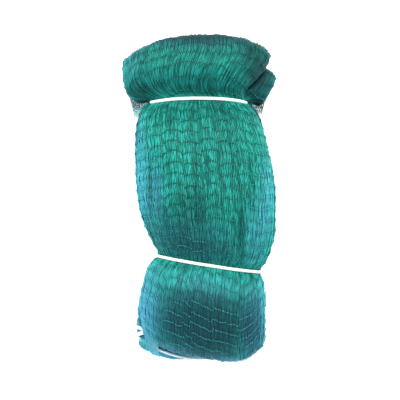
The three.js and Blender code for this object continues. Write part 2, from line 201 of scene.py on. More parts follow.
class Curve:
    """A curve through the rows of a table that never overshoots them."""

    def __init__(self, places: Sequence[float], values: Sequence[float]) -> None:
        """Prepare the curve.

        Args:
            places: the rows' places, in falling order.
            values: the value at each place.
        """
        self.x = np.array(places[::-1], float)
        self.y = np.array(values[::-1], float)
        wide = np.diff(self.x)
        step = np.diff(self.y) / wide
        self.slope = np.zeros(len(self.x))
        for i in range(1, len(self.x) - 1):
            if step[i - 1] * step[i] > 0:
                nearer, further = 2 * wide[i] + wide[i - 1], wide[i] + 2 * wide[i - 1]
                self.slope[i] = (nearer + further) / (nearer / step[i - 1] + further / step[i])

    def __call__(self, at: Array | float) -> Array:
        """Evaluate the curve.

        Args:
            at: places along the bundle.

        Returns:
            The value at each place.
        """
        place = np.clip(np.asarray(at, float), self.x[0], self.x[-1])
        i = np.clip(np.searchsorted(self.x, place, side="right") - 1, 0, len(self.x) - 2)
        wide = self.x[i + 1] - self.x[i]
        return cubic(self.y, self.slope, i, wide, (place - self.x[i]) / wide)


def curves(columns: str, rows: Sequence[Sequence[float]]) -> dict[str, Curve]:
    """Make a curve for each named column of a table whose first column is the place.

    Args:
        columns: the columns' names, the place first.
        rows: the table's rows, in falling order of place.

    Returns:
        The curves by column name.
    """
    names = columns.split()
    return {name: Curve([r[0] for r in rows], [r[i] for r in rows]) for i, name in enumerate(names) if i}


# The folded form, as in the part's source

OUTLINES = curves("at front_left front_right back_left back_right", [
    (262, -110, 112, -107, 108),
    (250, -120, 117, -117, 120),
    (238, -125, 118, -122, 126),
    (214, -129, 104, -126, 132),
    (196, -125, 86, -122, 118),
    (183, -112, 76, -109, 105),
    (175, -97, 75, -94, 94),
    (168, -82, 77, -80, 77),
    (161, -92, 87, -89, 86),
    (150, -100, 95, -97, 94),
    (130, -105, 103, -102, 102),
    (95, -108, 112, -105, 113),
    (50, -107, 121, -104, 120),
    (5, -104, 126, -101, 122),
    (-36, -97, 126, -94, 121),
    (-70, -85, 119, -83, 114),
    (-88, -77, 111, -76, 107),
    (-99, -71, 104, -70, 101),
    (-106, -70, 101, -68, 99),
    (-113, -77, 104, -75, 101),
    (-124, -86, 108, -84, 104),
    (-148, -94, 110, -95, 106),
    (-185, -101, 109, -104, 105),
    (-215, -99, 109, -108, 102),
    (-238, -92, 108, -109, 97),
    (-266, -82, 104, -103, 84),
])

# layer is half the thickness of one layer, lift the height of the underside in the middle, where below 0 is
# pressed flat, and rise how much higher the underside is at its sides.
BODY = curves("at layer lift rise", [
    (262, 9.2, 7.5, 26),
    (250, 9.8, 3, 28),
    (238, 10.0, -1.5, 31),
    (214, 10.4, -1.5, 32),
    (196, 10.2, -1.5, 31),
    (183, 9.2, 1, 27),
    (175, 7.7, 5, 21),
    (168, 7.0, 8.5, 17),
    (161, 7.9, 5.5, 19),
    (150, 9.8, 1, 23),
    (130, 11.8, -1.5, 28),
    (95, 13.0, -1.5, 31),
    (50, 13.4, -1.5, 32),
    (5, 13.4, -1.5, 32),
    (-36, 12.8, -1.5, 30),
    (-70, 11.2, -1, 26),
    (-88, 9.4, 2, 22),
    (-99, 7.8, 6, 18),
    (-106, 7.0, 8.5, 16),
    (-113, 8.0, 5.5, 18),
    (-124, 9.8, 1, 22),
    (-148, 11.7, -1.5, 26),
    (-185, 12.2, -1.5, 28),
    (-215, 11.4, -1.5, 27),
    (-238, 9.6, 2, 23),
    (-266, 8.0, 7, 20),
])

# How far the head's rim hangs back over the upper tie, at the left and at the right.
DROOP = curves("at left right", [
    (238, 0, 0), (214, 4, 4), (196, 13, 14), (183, 18, 21),
    (175, 12, 16), (168, 8, 8), (161, 3, 3), (150, 0, 0),
])
DROOP_LEFT = (-82, -125)  # the places across between which the droop sets in
DROOP_RIGHT = (77, 115)

# How much each cross-section leans towards the foot, per unit across.
LEAN = curves("at lean", [
    (95, 0), (50, 0.01), (5, 0.03), (-36, 0.08), (-70, 0.13), (-88, 0.15), (-99, 0.158), (-113, 0.158),
    (-124, 0.155), (-148, 0.145), (-185, 0.13), (-215, 0.12), (-266, 0.12),
])["lean"]


class Outline(Enum):
    """Which edges a layer follows."""

    FRONT = "front"
    CROSSING = "crossing"  # from the front's edges at the foot to the back's
    BACK = "back"


@dataclass(frozen=True)
class Turn:
    """Where a fold turns: its place along the bundle, the place across that reaches furthest, how far the
    left and the right corner fall short of it, and how sharply."""

    at: float
    furthest: float
    left: float
    right: float
    power: float

    def reach(self, across: Array) -> Array:
        """Give the fold's place along the bundle.

        Args:
            across: places across the layer, from -1 to 1.

        Returns:
            The place along at each of them.
        """
        away = np.clip(across, -1, 1) - self.furthest
        short = np.where(away < 0, self.left, self.right)
        span = np.where(away < 0, 1 + self.furthest, 1 - self.furthest)
        return self.at - math.copysign(1, self.at) * short * np.abs(away / span) ** self.power


@dataclass(frozen=True)
class Layer:
    """One layer of the folded net, with the turns that it runs between in the order in which the net runs."""

    outline: Outline
    start: str
    stop: str
    upwards: bool


TURNS = {
    "head": Turn(at=250, furthest=0.15, left=27, right=14, power=2.6),
    "lobe": Turn(at=212, furthest=0.6, left=16, right=4, power=2.4),
    "foot_front": Turn(at=-242, furthest=0.42, left=14, right=30, power=2.2),
    "foot_back": Turn(at=-265.5, furthest=-0.52, left=9, right=42, power=1.9),
    "head_inner": Turn(at=189, furthest=0, left=0, right=0, power=2),
    "tail": Turn(at=238, furthest=0, left=22, right=22, power=2.4),
}
LAYERS = {
    "inner": Layer(Outline.FRONT, "head_inner", "head", True),
    "front": Layer(Outline.FRONT, "head", "foot_front", False),
    "second": Layer(Outline.CROSSING, "foot_front", "lobe", True),
    "third": Layer(Outline.BACK, "lobe", "foot_back", False),
    "fourth": Layer(Outline.BACK, "foot_back", "tail", True),
}
STACK = ("fourth", "third", "second", "inner", "front")  # from the resting surface upwards

# Where a gap opens towards a fold, by the layer below it: the span along the bundle and how far it opens.
OPENINGS = (
    ("inner", 215, 245, 1.0),
    ("second", -205, -235, 1.0),
    ("second", 185, 215, 1.2),
    ("third", 170, 205, 1.0),
    ("fourth", -225, -255, 1.0),
)

# The soft creases of the front layer: place across, width, the span along the bundle, and the share of the
# layer's thickness that they take away.
CREASES = (
    (-0.04, 0.13, 120, -75, 0.10),
    (-0.72, 0.14, 80, -80, 0.12),
    (0.5, 0.15, 10, -98, 0.15),
    (0.56, 0.14, -135, -238, 0.13),
    (-0.5, 0.14, -130, -236, 0.10),
    (0.3, 0.14, 246, 180, 0.10),
    (-0.45, 0.15, 246, 182, 0.10),
)


@dataclass(frozen=True)
class FoldedForm:
    """The closed surface of the folded net, as a function of the way along the net and round its section."""

    layer_gap: float = 1.8
    fold_gap: float = 5.5
    edge_spread: float = 3.0
    drape: float = 0.9
    gap_fade: float = 10.0
    edge_shape: float = 2.6
    fold_reach: float = 1.12
    crease_fade: float = 30.0
    tail_taper: float = 14.0
    tail_edge: float = 0.02
    inner_share: float = 0.85
    inner_span: tuple[float, float] = (180, 205)
    inner_gap_span: tuple[float, float] = (176, 190)
    changeover: tuple[float, float] = (-190, -60)

    def edges(self, outline: Outline, at: Array) -> tuple[Array, Array]:
        """Give the left and the right edge of an outline.

        Args:
            outline: the edges to follow.
            at: places along the bundle.

        Returns:
            The places across of the left and of the right edge.
        """
        front = OUTLINES["front_left"](at), OUTLINES["front_right"](at)
        back = OUTLINES["back_left"](at), OUTLINES["back_right"](at)
        share = {Outline.FRONT: 0.0, Outline.BACK: 1.0}.get(outline)
        if share is None:
            share = smooth(*self.changeover, at)
        return tuple(f + (b - f) * share for f, b in zip(front, back))

    def crown(self, across: Array) -> Array:
        """Give a layer's thickness as a share: 1 in its middle, falling to 0 at its edges."""
        return (1 - np.minimum(1, np.abs(across)) ** self.edge_shape) ** (1 / self.edge_shape)

    def crease(self, across: Array, at: Array) -> Array:
        """Give the share of the front layer's thickness that its creases take away.

        Args:
            across: places across the layer, from -1 to 1.
            at: places along the bundle.

        Returns:
            The share at each place.
        """
        total = np.zeros(np.broadcast(across, at).shape)
        for place, wide, start, stop, deep in CREASES:
            along = smooth(stop, stop + self.crease_fade, at) * smooth(start, start - self.crease_fade, at)
            total = total + deep * along * np.exp(-(((across - place) / wide) ** 2))
        return total

    def half_thickness(self, name: str, across: Array, at: Array) -> Array:
        """Give half the thickness of a layer.

        Args:
            name: the layer.
            across: places across it, from -1 to 1.
            at: places along the bundle.

        Returns:
            Half the thickness at each place.
        """
        half = BODY["layer"](at) * self.crown(across)
        if name == "front":
            half = half * (1 - self.crease(across, at))
        if name == "inner":
            half = half * self.inner_share * smooth(*self.inner_span, at)
        if name == "fourth":
            left = (TURNS["tail"].reach(across) - at) / self.tail_taper
            half = half * np.sqrt(np.clip(left, self.tail_edge, 1))
        return half

    def gap_over(self, name: str, at: Array) -> Array:
        """Give the gap over a layer, which is wider towards the folds.

        Args:
            name: the layer.
            at: places along the bundle.

        Returns:
            The gap at each place.
        """
        share = sum(how * smooth(start, stop, at) for over, start, stop, how in OPENINGS if over == name)
        present = smooth(*self.inner_gap_span, at) if name == "inner" else 1.0
        return present * (self.layer_gap + (self.fold_gap - self.layer_gap) * share)

    def middle_height(self, name: str, x: Array, at: Array) -> Array:
        """Give the height of a layer's middle surface, by laying the layers beneath on one another.

        Args:
            name: the layer.
            x: places across the bundle, in millimetres.
            at: places along it.

        Returns:
            The height at each place.
        """
        own = self.edges(LAYERS[name].outline, at)
        left, right = self.edges(Outline.BACK, at)
        side = self.crown((2 * x - left - right) / (right - left))
        height = BODY["lift"](at) + BODY["rise"](at) * (1 - side)
        for below in STACK:
            span = self.edges(LAYERS[below].outline, at)
            if below == name:
                across = (2 * x - span[0] - span[1]) / (span[1] - span[0])
                return height + self.half_thickness(name, across, at)
            low = span[0] - self.edge_spread - self.drape * np.maximum(0, span[0] - own[0])
            high = span[1] + self.edge_spread + self.drape * np.maximum(0, own[1] - span[1])
            half = (high - low) / 2
            across = (x - (high + low) / 2) / half
            past = np.maximum(0, (np.abs(across) - 1) * half)
            fade = np.clip(1 - past / self.gap_fade, 0, 1)
            height = height + 2 * self.half_thickness(below, across, at) + self.gap_over(below, at) * fade
        raise ValueError(f"no layer is named {name}")

    def place(self, at: Array, x: Array, z: Array) -> Array:
        """Put points of a section into the part's frame: it leans, and its rim droops over the upper tie.

        Args:
            at: places along the bundle.
            x: places across it.
            z: heights.

        Returns:
            The points.
        """
        left = DROOP["left"](at) * smooth(*DROOP_LEFT, x)
        right = DROOP["right"](at) * smooth(*DROOP_RIGHT, x)
        return np.stack([x, at - LEAN(at) * x - left - right, np.maximum(0, z)], axis=-1)

    def across_to_x(self, outline: Outline, across: Array, at: Array) -> Array:
        """Turn places across a layer, from -1 to 1, into millimetres."""
        left, right = self.edges(outline, at)
        return (left + right) / 2 + across * (right - left) / 2

    def on_layer(self, name: str, side: Array, across: Array, at: Array) -> Array:
        """Give points on a layer.

        Args:
            name: the layer.
            side: 1 for its upper side, -1 for its lower side, or between.
            across: places across it, from -1 to 1.
            at: places along the bundle.

        Returns:
            The points.
        """
        x = self.across_to_x(LAYERS[name].outline, across, at)
        z = self.middle_height(name, x, at) + side * self.half_thickness(name, across, at)
        return self.place(at, x, z)

    def on_fold(self, fold: "Fold", side: Array, across: Array, share: Array) -> Array:
        """Give points on a fold.

        Args:
            fold: the fold.
            side: 1 for its outer side, -1 for its inner side, or between.
            across: places across it, from -1 to 1.
            share: the way down through it, from 0 at its upper layer to 1 at its lower one.

        Returns:
            The points.
        """
        at = TURNS[fold.turn].reach(across)
        x = self.across_to_x(LAYERS[fold.lower].outline, across, at)
        high = self.middle_height(fold.upper, x, at)
        low = self.middle_height(fold.lower, x, at)
        thick = self.half_thickness(fold.upper, across, at) * (1 - share)
        thick = side * (thick + self.half_thickness(fold.lower, across, at) * share)
        radius = (high - low) / 2
        angle = share * math.pi
        along = at + fold.way * (self.fold_reach * radius + thick) * np.sin(angle)
        return self.place(along, x, (high + low) / 2 + (radius + thick) * np.cos(angle))


@dataclass(frozen=True)
class Fold:
    """One fold: the layers above and below it, its turn, whether it points to the head (1) or the foot (-1),
    and whether the net runs down through it."""

    upper: str
    lower: str
    turn: str
    way: int
    downwards: bool


@dataclass(frozen=True)
class Stretch:
    """One layer or fold, the nominal length that it takes up in the net's own coordinate, and 1 or -1 for the
    side that is uppermost on a layer or outermost on a fold."""

    part: str | Fold
    length: float
    outer: int


# The whole net as layers and folds in turn.
RUN = (
    Stretch("inner", 60, -1),
    Stretch(Fold("front", "inner", "head", 1, False), 60, 1),
    Stretch("front", 492, 1),
    Stretch(Fold("front", "second", "foot_front", -1, True), 60, 1),
    Stretch("second", 454, -1),
    Stretch(Fold("second", "third", "lobe", 1, True), 60, -1),
    Stretch("third", 478, 1),
    Stretch(Fold("third", "fourth", "foot_back", -1, True), 60, 1),
    Stretch("fourth", 504, -1),
)
RUN_LENGTH = sum(stretch.length for stretch in RUN)

# The grid that holds the surface: the steps along the net, the columns round it, how often the head and the
# folds are eased along and round it, and the spans over which the easing sets in.
GRID_STEP = 2.0
GRID_COLUMNS = 480
EASE_LENGTHWISE = 36
EASE_ROUND = 44
EASED_HEAD = (180, 205)
EASED_FOOT = (-212, -236)

ANGLE_STEPS = 1440  # the steps in which the section's girth is measured
NORMAL_STEP = 2.5  # how far from a place its neighbours are taken for the surface's direction
BEYOND = 400  # further from the middle, towards the head or the foot, than any netting

ROW = 17.5  # half the length of a drawn-out mesh, from one row of knots to the next


@dataclass(frozen=True)
class Pleat:
    """One lengthwise pleat of the outer netting, between two places across the layer. Its rows of knots arch
    towards the head, tilt down to the right where tilt is below 0, and lie higher or lower than their
    neighbours' by shift. Its own coordinate runs from -1 at its left to 1 at its right."""

    left: float
    right: float
    arch: float
    tilt: float
    shift: float
    deep: float = 1.6
    ridge: float = 0.45  # the share of its depth that lies above the even surface

    def height(self, own: Array) -> Array:
        """Give how far it stands out at places in its own coordinate."""
        return self.deep * (self.ridge - np.abs(own) ** 3)

    def row_shift(self, own: Array) -> Array:
        """Give how far it shifts the rows of knots towards the head."""
        return self.arch * (1 - own**2) + self.tilt * own + self.shift


@dataclass(frozen=True)
class Section:
    """A stretch of the bundle between two ties, with its pleats."""

    stop: float
    pleats: tuple[Pleat, ...]


# From the head to the foot. A section ends at stop, where a tie gathers its pleats.
SECTIONS = (
    Section(168, (
        Pleat(-1.02, -0.66, 3.0, 2.0, 1, 1.2),
        Pleat(-0.66, -0.3, 2.5, 1.0, -2, 1.4),
        Pleat(-0.3, 0.12, 2.0, 0.0, 2, 1.0),
        Pleat(0.12, 0.46, 2.5, -1.0, -1, 1.4),
        Pleat(0.46, 0.74, 2.5, -2.0, 3, 1.6),
        Pleat(0.74, 1.02, 2.0, -3.0, 0, 1.6),
    )),
    Section(-106, (
        Pleat(-1.02, -0.76, 2.0, 2.0, 0, 2.2),
        Pleat(-0.76, -0.57, 4.0, 1.0, -3, 1.8),
        Pleat(-0.57, -0.3, 4.5, 0.5, 2, 1.4),
        Pleat(-0.3, -0.03, 4.0, 0.0, -2, 1.8),
        Pleat(-0.03, 0.22, 4.0, 0.5, 3, 1.8),
        Pleat(0.22, 0.47, 3.5, -1.0, -1, 1.4),
        Pleat(0.47, 0.72, 3.5, -1.0, 3, 1.8),
        Pleat(0.72, 1.02, 3.0, -2.0, -2, 1.8),
    )),
    Section(-BEYOND, (
        Pleat(-1.02, -0.84, 1.0, 0.0, 3, 1.4),
        Pleat(-0.84, -0.63, 2.0, -2.0, -2, 1.4),
        Pleat(-0.63, -0.31, 0.8, -1.6, 0, 1.2),
        Pleat(-0.31, -0.18, 0.4, -3.6, 2.8, 1.0),
        Pleat(-0.18, 0.14, 0.6, -5.1, 4.1, 0.9),
        Pleat(0.14, 0.55, 0.6, -4.5, -1.0, 1.0),
        Pleat(0.55, 0.85, -1.4, 5.7, 10.2, 1.6),
        Pleat(0.85, 1.02, 0.5, 3.0, 8.0, 1.4),
    )),
)

# The unevenness of a row of knots: how far it strays, over how many millimetres round the net and rows along
# it, and the pattern that it takes.
ROW_STRAY = 1.7
ROW_STRAY_CELL = (4.0, 0.8)
ROW_STRAY_SEED = 31


@dataclass(frozen=True)
class TiePlace:
    """Where a tie lies along the bundle, how it slants and bows across, the height that it stays under, its
    size against a full cord, and the direction its knot sits in, in degrees from +X towards +Z."""

    along: float
    slant: float = 0.0
    bow: float = 0.0
    bow_at: float = 0.0
    top: float = math.inf
    size: float = 1.0
    knot_at: float = 0.0

    def line(self, x: Array | float) -> Array | float:
        """Give the tie's place along the bundle at places across it."""
        return self.along + self.slant * x + self.bow * (x - self.bow_at) ** 2


TIES = {
    "upper_tie": TiePlace(along=168, bow=-0.0005, knot_at=207),
    "middle_tie": TiePlace(along=-106, slant=-0.158, knot_at=-27),
    "end_tie": TiePlace(along=-276, bow=0.0022, bow_at=25, top=50, size=0.9, knot_at=182),
}

ROUND_TIES = ("upper_tie", "middle_tie")  # the ties that go round every layer

# The cord ends that leave each knot: cut ends as offsets from the knot, and the end tie's loop and tail as
# places. The sizes are against the tie's own cord, and the knots have the cut ends' size.
CUT_ENDS = {
    "upper_tie": (((-8, -5, -2), (-13, -7, -4)), ((-8, 4, -3), (-12, 7, -5))),
    "middle_tie": (((7, -5, -1), (12, -7, -3)), ((7, 4, -2), (11, 7, -4))),
}
BOW_LOOP = ((-110, -221, 38), (-105.5, -218, 45), (-94.5, -223.5, 50), (-103, -228.5, 45))
BOW_SIZE = 1.35
TAIL = ((-111, -217, 33), (-110, -207, 39), (-107, -198, 44))
TAIL_SIZE = 0.9
CUT_END_SIZE = 0.85


class NetRun:
    """The net's surface in its own coordinates: run, the way along the net in nominal millimetres, and ring,
    the way round its section as a share of the whole."""

    def __init__(self, form: FoldedForm, measured_at: float = 50.0) -> None:
        """Prepare the coordinates.

        Args:
            form: the folded form.
            measured_at: where along the bundle the ring is measured in even steps.
        """
        self.form = form
        self.starts = np.concatenate([[0], np.cumsum([stretch.length for stretch in RUN])])
        self.angles = np.linspace(0, 2 * math.pi, ANGLE_STEPS + 1)
        across, side = self._across_and_side(self.angles)
        points = form.on_layer("front", side, across, np.full(across.shape, measured_at))
        steps = np.linalg.norm(np.diff(points, axis=0), axis=1)
        self.around = float(steps.sum())
        self.shares = np.concatenate([[0], np.cumsum(steps)]) / self.around
        self.grid = self._eased_grid()

    def _across_and_side(self, angle: Array) -> tuple[Array, Array]:
        """Turn places round the section into places across and sides.

        Args:
            angle: the angle of each place, from the right edge over the top.

        Returns:
            The place across, from -1 to 1, and 1 above or -1 below.
        """
        cosine, sine = np.cos(angle), np.sin(angle)
        across = np.sign(cosine) * np.abs(cosine) ** (2 / self.form.edge_shape)
        return across, np.sign(sine)

    def _angle(self, ring: Array) -> Array:
        """Turn places round the ring into angles."""
        return np.interp(np.mod(ring, 1), self.shares, self.angles)

    def across(self, ring: Array) -> Array:
        """Give the place across the layer, from -1 to 1, for places round the ring."""
        return self._across_and_side(self._angle(ring))[0]

    def girth_place(self, ring: Array) -> Array:
        """Give how far round the section places lie, in millimetres from the middle of the underside."""
        return np.mod(ring + 0.25, 1) * self.around

    def along(self, run: Array, ring: Array) -> Array:
        """Give places along the bundle, before it leans and droops.

        Args:
            run: places along the net.
            ring: places round its section.

        Returns:
            The place along the bundle of each.
        """
        run, ring = np.broadcast_arrays(run, ring)
        across = self.across(ring)
        place = np.zeros(run.shape)
        for stretch, start in zip(RUN, self.starts):
            here = (run >= start) & (run <= start + stretch.length)
            if isinstance(stretch.part, Fold):
                place[here] = TURNS[stretch.part.turn].reach(across[here])
                continue
            layer = LAYERS[stretch.part]
            first, last = (TURNS[name].reach(across[here]) for name in (layer.start, layer.stop))
            place[here] = first + (last - first) * (run[here] - start) / stretch.length
        return place

    def _eased_grid(self) -> Array:
        """Work out an even grid of the surface's points, with the head and the folds eased to rounder forms.

        Returns:
            The points, one row for each step along the net.
        """
        run = np.minimum(np.arange(0, RUN_LENGTH + GRID_STEP, GRID_STEP), RUN_LENGTH)[:, None]
        ring = np.arange(GRID_COLUMNS)[None] / GRID_COLUMNS
        exact, along = self._exact_points(run, ring), self.along(run, ring)
        eased = exact.copy()
        for _ in range(EASE_LENGTHWISE):
            padded = np.concatenate([eased[:1], eased, eased[-1:]])
            eased = (padded[:-2] + 2 * padded[1:-1] + padded[2:]) / 4
        for _ in range(EASE_ROUND):
            eased = (np.roll(eased, 1, 1) + 2 * eased + np.roll(eased, -1, 1)) / 4
        share = np.maximum(smooth(*EASED_HEAD, along), smooth(*EASED_FOOT, along))[..., None]
        return exact + (eased - exact) * share

    def points(self, run: Array, ring: Array) -> Array:
        """Give points of the surface.

        Args:
            run: places along the net.
            ring: places round its section.

        Returns:
            The points.
        """
        run, ring = np.broadcast_arrays(np.clip(run, 0, RUN_LENGTH), ring)
        row, column = run / GRID_STEP, np.mod(ring, 1) * GRID_COLUMNS
        i = np.clip(np.floor(row).astype(int), 0, len(self.grid) - 2)
        j = np.floor(column).astype(int) % GRID_COLUMNS
        s, t = (row - i)[..., None], (column - np.floor(column))[..., None]
        beside = (j + 1) % GRID_COLUMNS
        near = self.grid[i, j] * (1 - t) + self.grid[i, beside] * t
        far = self.grid[i + 1, j] * (1 - t) + self.grid[i + 1, beside] * t
        return near * (1 - s) + far * s

    def _exact_points(self, run: Array, ring: Array) -> Array:
        """Give points of the folded form before it is eased.

        Args:
            run: places along the net.
            ring: places round its section.

        Returns:
            The points.
        """
        run, ring = np.broadcast_arrays(run, ring)
        across, side = self._across_and_side(self._angle(ring))
        along = self.along(run, ring)
        points = np.zeros(run.shape + (3,))
        for stretch, start in zip(RUN, self.starts):
            here = (run >= start) & (run <= start + stretch.length)
            if not here.any():
                continue
            facing = side[here] * stretch.outer
            if isinstance(stretch.part, Fold):
                share = (run[here] - start) / stretch.length
                down = share if stretch.part.downwards else 1 - share
                points[here] = self.form.on_fold(stretch.part, facing, across[here], down)
            else:
                points[here] = self.form.on_layer(stretch.part, facing, across[here], along[here])
        return points

    def normals(self, run: Array, ring: Array) -> Array:
        """Give the outward direction of the surface.

        Args:
            run: places along the net.
            ring: places round its section.

        Returns:
            The direction at each place.
        """
        turn = NORMAL_STEP / self.around
        lengthwise = self.points(run + NORMAL_STEP, ring) - self.points(run - NORMAL_STEP, ring)
        crosswise = self.points(run, ring + turn) - self.points(run, ring - turn)
        return unit(np.cross(crosswise, lengthwise))


@dataclass(frozen=True)
class Pleats:
    """The pleats of the outer netting: how far they stand out and how they shift the rows of knots."""

    net: NetRun
    gathered: tuple[float, float] = (6, 34)  # they are flat this near to a tie, and full this far from it

    def _each(self, run: Array, ring: Array, value: Callable[[Pleat, Array], Array]) -> Array:
        """Take a value from the pleat that each place lies in.

        Args:
            run: places along the net.
            ring: places round its section.
            value: gives a pleat's value at places in its own coordinate.

        Returns:
            The value at each place.
        """
        run, ring = np.broadcast_arrays(run, ring)
        across, along = self.net.across(ring), self.net.along(run, ring)
        total = np.zeros(run.shape)
        top = BEYOND
        for section in SECTIONS:
            inside = (along <= top) & (along > section.stop)
            for pleat in section.pleats:
                here = inside & (across >= pleat.left) & (across < pleat.right)
                own = (2 * across[here] - pleat.left - pleat.right) / (pleat.right - pleat.left)
                total[here] = value(pleat, own)
            top = section.stop
        return total

    def height(self, run: Array, ring: Array) -> Array:
        """Give how far the pleats stand out, fading where a tie gathers them.

        Args:
            run: places along the net.
            ring: places round its section.

        Returns:
            The height at each place.
        """
        along = self.net.along(run, ring)
        free = np.ones(along.shape)
        for name in ROUND_TIES:
            free = free * smooth(*self.gathered, np.abs(along - TIES[name].along))
        return free * self._each(run, ring, Pleat.height)

    def rows_passed(self, run: Array, ring: Array) -> Array:
        """Give how many rows of knots lie before a place, as a real number."""
        return (run + self.row_shift(run, ring)) / ROW

    def row_shift(self, run: Array, ring: Array) -> Array:
        """Give how far the rows of knots are shifted towards the head."""
        stray = soft_noise(ROW_STRAY_SEED, self.net.girth_place(ring), run / ROW, ROW_STRAY_CELL)
        return self._each(run, ring, Pleat.row_shift) + ROW_STRAY * stray


@dataclass(frozen=True)
class Clumping:
    """How the twines of the drawn-out netting gather into uneven strands between one row of knots and the
    next. A cell is so many millimetres wide and so many rows long."""

    net: NetRun
    cell: tuple[float, float] = (2.9, 1.0)
    broad_cell: tuple[float, float] = (7.0, 2.6)
    broad_share: float = 0.6
    grain_cell: tuple[float, float] = (1.9, 0.3)
    gather: float = 0.8
    probe: float = 0.7
    lift: float = 0.75
    seed: int = 11

    def strength(self, rows: Array, ring: Array) -> Array:
        """Give the clumping, from about -1 in a gap to 1 on a strand.

        Args:
            rows: how many rows of knots lie before each place.
            ring: places round the section.

        Returns:
            The value at each place.
        """
        across = self.net.girth_place(ring)
        fine = soft_noise(self.seed, across, rows, self.cell)
        return fine + self.broad_share * soft_noise(self.seed + 1, across, rows, self.broad_cell)

    def grain(self, rows: Array, ring: Array) -> Array:
        """Give the short dark and bright dashes where twines turn away from the light, from -1 to 1."""
        return soft_noise(self.seed + 2, self.net.girth_place(ring), rows, self.grain_cell)

    def sideways(self, rows: Array, ring: Array) -> Array:
        """Give how far twines move round the ring towards the nearest strand.

        Args:
            rows: how many rows of knots lie before each place.
            ring: places round the section.

        Returns:
            The way that each moves, in millimetres.
        """
        step = self.probe / self.net.around
        rise = self.strength(rows, ring + step) - self.strength(rows, ring - step)
        return self.gather * np.clip(rise / (2 * self.probe) * self.cell[0] / 2, -1, 1)


@dataclass
class Bundle:
    """The net's surface with its pleats and strands, and which of it can be seen."""

    waist_deep: float = 1.7
    waist_wide: float = 4.0
    lowest: float = 1.4  # leaves room for a twine above the resting surface
    look_step: float = 8.0
    look_columns: int = 96
    look_from: float = 0.6
    look_far: float = 90
    look_leans: tuple[tuple[float, float, float], ...] = (
        (0, 0, 0), (0.9, 0, 0), (-0.9, 0, 0), (0, 0.9, 0), (0, -0.9, 0), (0, 0, 0.9),
    )
    look_down: float = -0.15  # a look that points further down than this ends on the resting surface,
    floor_far: float = 45  # and counts only where that is further off than this

    def __post_init__(self) -> None:
        """Work out the surface and where it is open to view."""
        self.form = FoldedForm()
        self.net = NetRun(self.form)
        self.pleats = Pleats(self.net)
        self.clumps = Clumping(self.net)
        self.open_to_view = self._find_open()

    def waist_press(self, points: Array) -> Array:
        """Give how deep the two round ties press the netting in.

        Args:
            points: points of the surface.

        Returns:
            The depth at each point.
        """
        press = np.zeros(points.shape[:-1])
        for name in ROUND_TIES:
            off = points[..., 1] - TIES[name].line(points[..., 0])
            press += self.waist_deep * np.exp(-((off / self.waist_wide) ** 2))
        return press

    def surface(self, run: Array, ring: Array, lift: Array | float = 0.0) -> Array:
        """Give points of the pleated surface.

        Args:
            run: places along the net.
            ring: places round its section.
            lift: how far off the pleated surface the points lie.

        Returns:
            The points, all far enough above the resting surface to leave room for a twine.
        """
        smooth_points = self.net.points(run, ring)
        out = self.pleats.height(run, ring) - self.waist_press(smooth_points) + lift
        points = smooth_points + self.net.normals(run, ring) * out[..., None]
        points[..., 2] = np.maximum(points[..., 2], self.lowest)
        return points

    def _sees_out(self, tree: BVHTree, point: Array, normal: Array) -> bool:
        """Tell whether some look out from the surface goes far.

        Args:
            tree: the surface.
            point: where the look starts.
            normal: the outward direction there.

        Returns:
            Whether one of the looks meets neither the net nor the resting surface nearby.
        """
        start = Vector(point + normal * self.look_from)
        for lean in self.look_leans:
            way = Vector(normal + np.array(lean)).normalized()
            to_floor = start.z / -way.z if way.z < self.look_down else math.inf
            if to_floor > self.floor_far and tree.ray_cast(start, way, self.look_far)[0] is None:
                return True
        return False

    def _find_open(self) -> Array:
        """Find where the surface is open to view, by looking out from it in several directions.

        Returns:
            Whether each place of an even grid, or one beside it, is open to view.
        """
        stations = np.arange(0, RUN_LENGTH + 1, self.look_step)
        run, ring = np.meshgrid(stations, np.arange(0, 1, 1 / self.look_columns), indexing="ij")
        points, normals = self.net.points(run, ring), self.net.normals(run, ring)
        inward = ring_quads(*run.shape)[..., [0, 3, 2, 1]]
        tree = BVHTree.FromPolygons(points.reshape(-1, 3).tolist(), inward.reshape(-1, 4).tolist())
        seen = np.zeros(run.shape, bool)
        for place in np.ndindex(run.shape):
            seen[place] = self._sees_out(tree, points[place], normals[place])
        grown = seen.copy()
        grown[1:] |= seen[:-1]
        grown[:-1] |= seen[1:]
        return grown | np.roll(seen, 1, 1) | np.roll(seen, -1, 1)

    def is_open(self, run: Array, ring: Array) -> Array:
        """Tell which places of the net can be seen.

        Args:
            run: places along the net.
            ring: places round its section.

        Returns:
            Whether each can be seen.
        """
        i = np.clip(np.rint(run / self.look_step).astype(int), 0, len(self.open_to_view) - 1)
        j = np.rint(np.mod(ring, 1) * self.look_columns).astype(int) % self.look_columns
        return self.open_to_view[i, j]


# Finishes

def add_node(tree: bpy.types.NodeTree, kind: str, values: Values | None = None,
             links: dict[str, bpy.types.NodeSocket] | None = None) -> bpy.types.Node:
    """Add a node with its settings and links.

    Args:
        tree: the node tree.
        kind: the node's type name.
        values: settings of the node, or of its inputs where the node has no such setting.
        links: the outputs that its inputs take, by input name or number.

    Returns:
        The new node.
    """
    node = tree.nodes.new(kind)
    for name, value in (values or {}).items():
        if hasattr(node, name):
            setattr(node, name, value)
        else:
            node.inputs[int(name) if name.isdigit() else name].default_value = value
    for name, output in (links or {}).items():
        tree.links.new(output, node.inputs[int(name) if name.isdigit() else name])
    return node


def new_material(name: str) -> tuple[bpy.types.Material, bpy.types.NodeTree]:
    """Make an empty material.

    Args:
        name: the material's name.

    Returns:
        The material and its node tree.
    """
    material = bpy.data.materials.new(name)
    material.use_nodes = True
    material.node_tree.nodes.clear()
    return material, material.node_tree


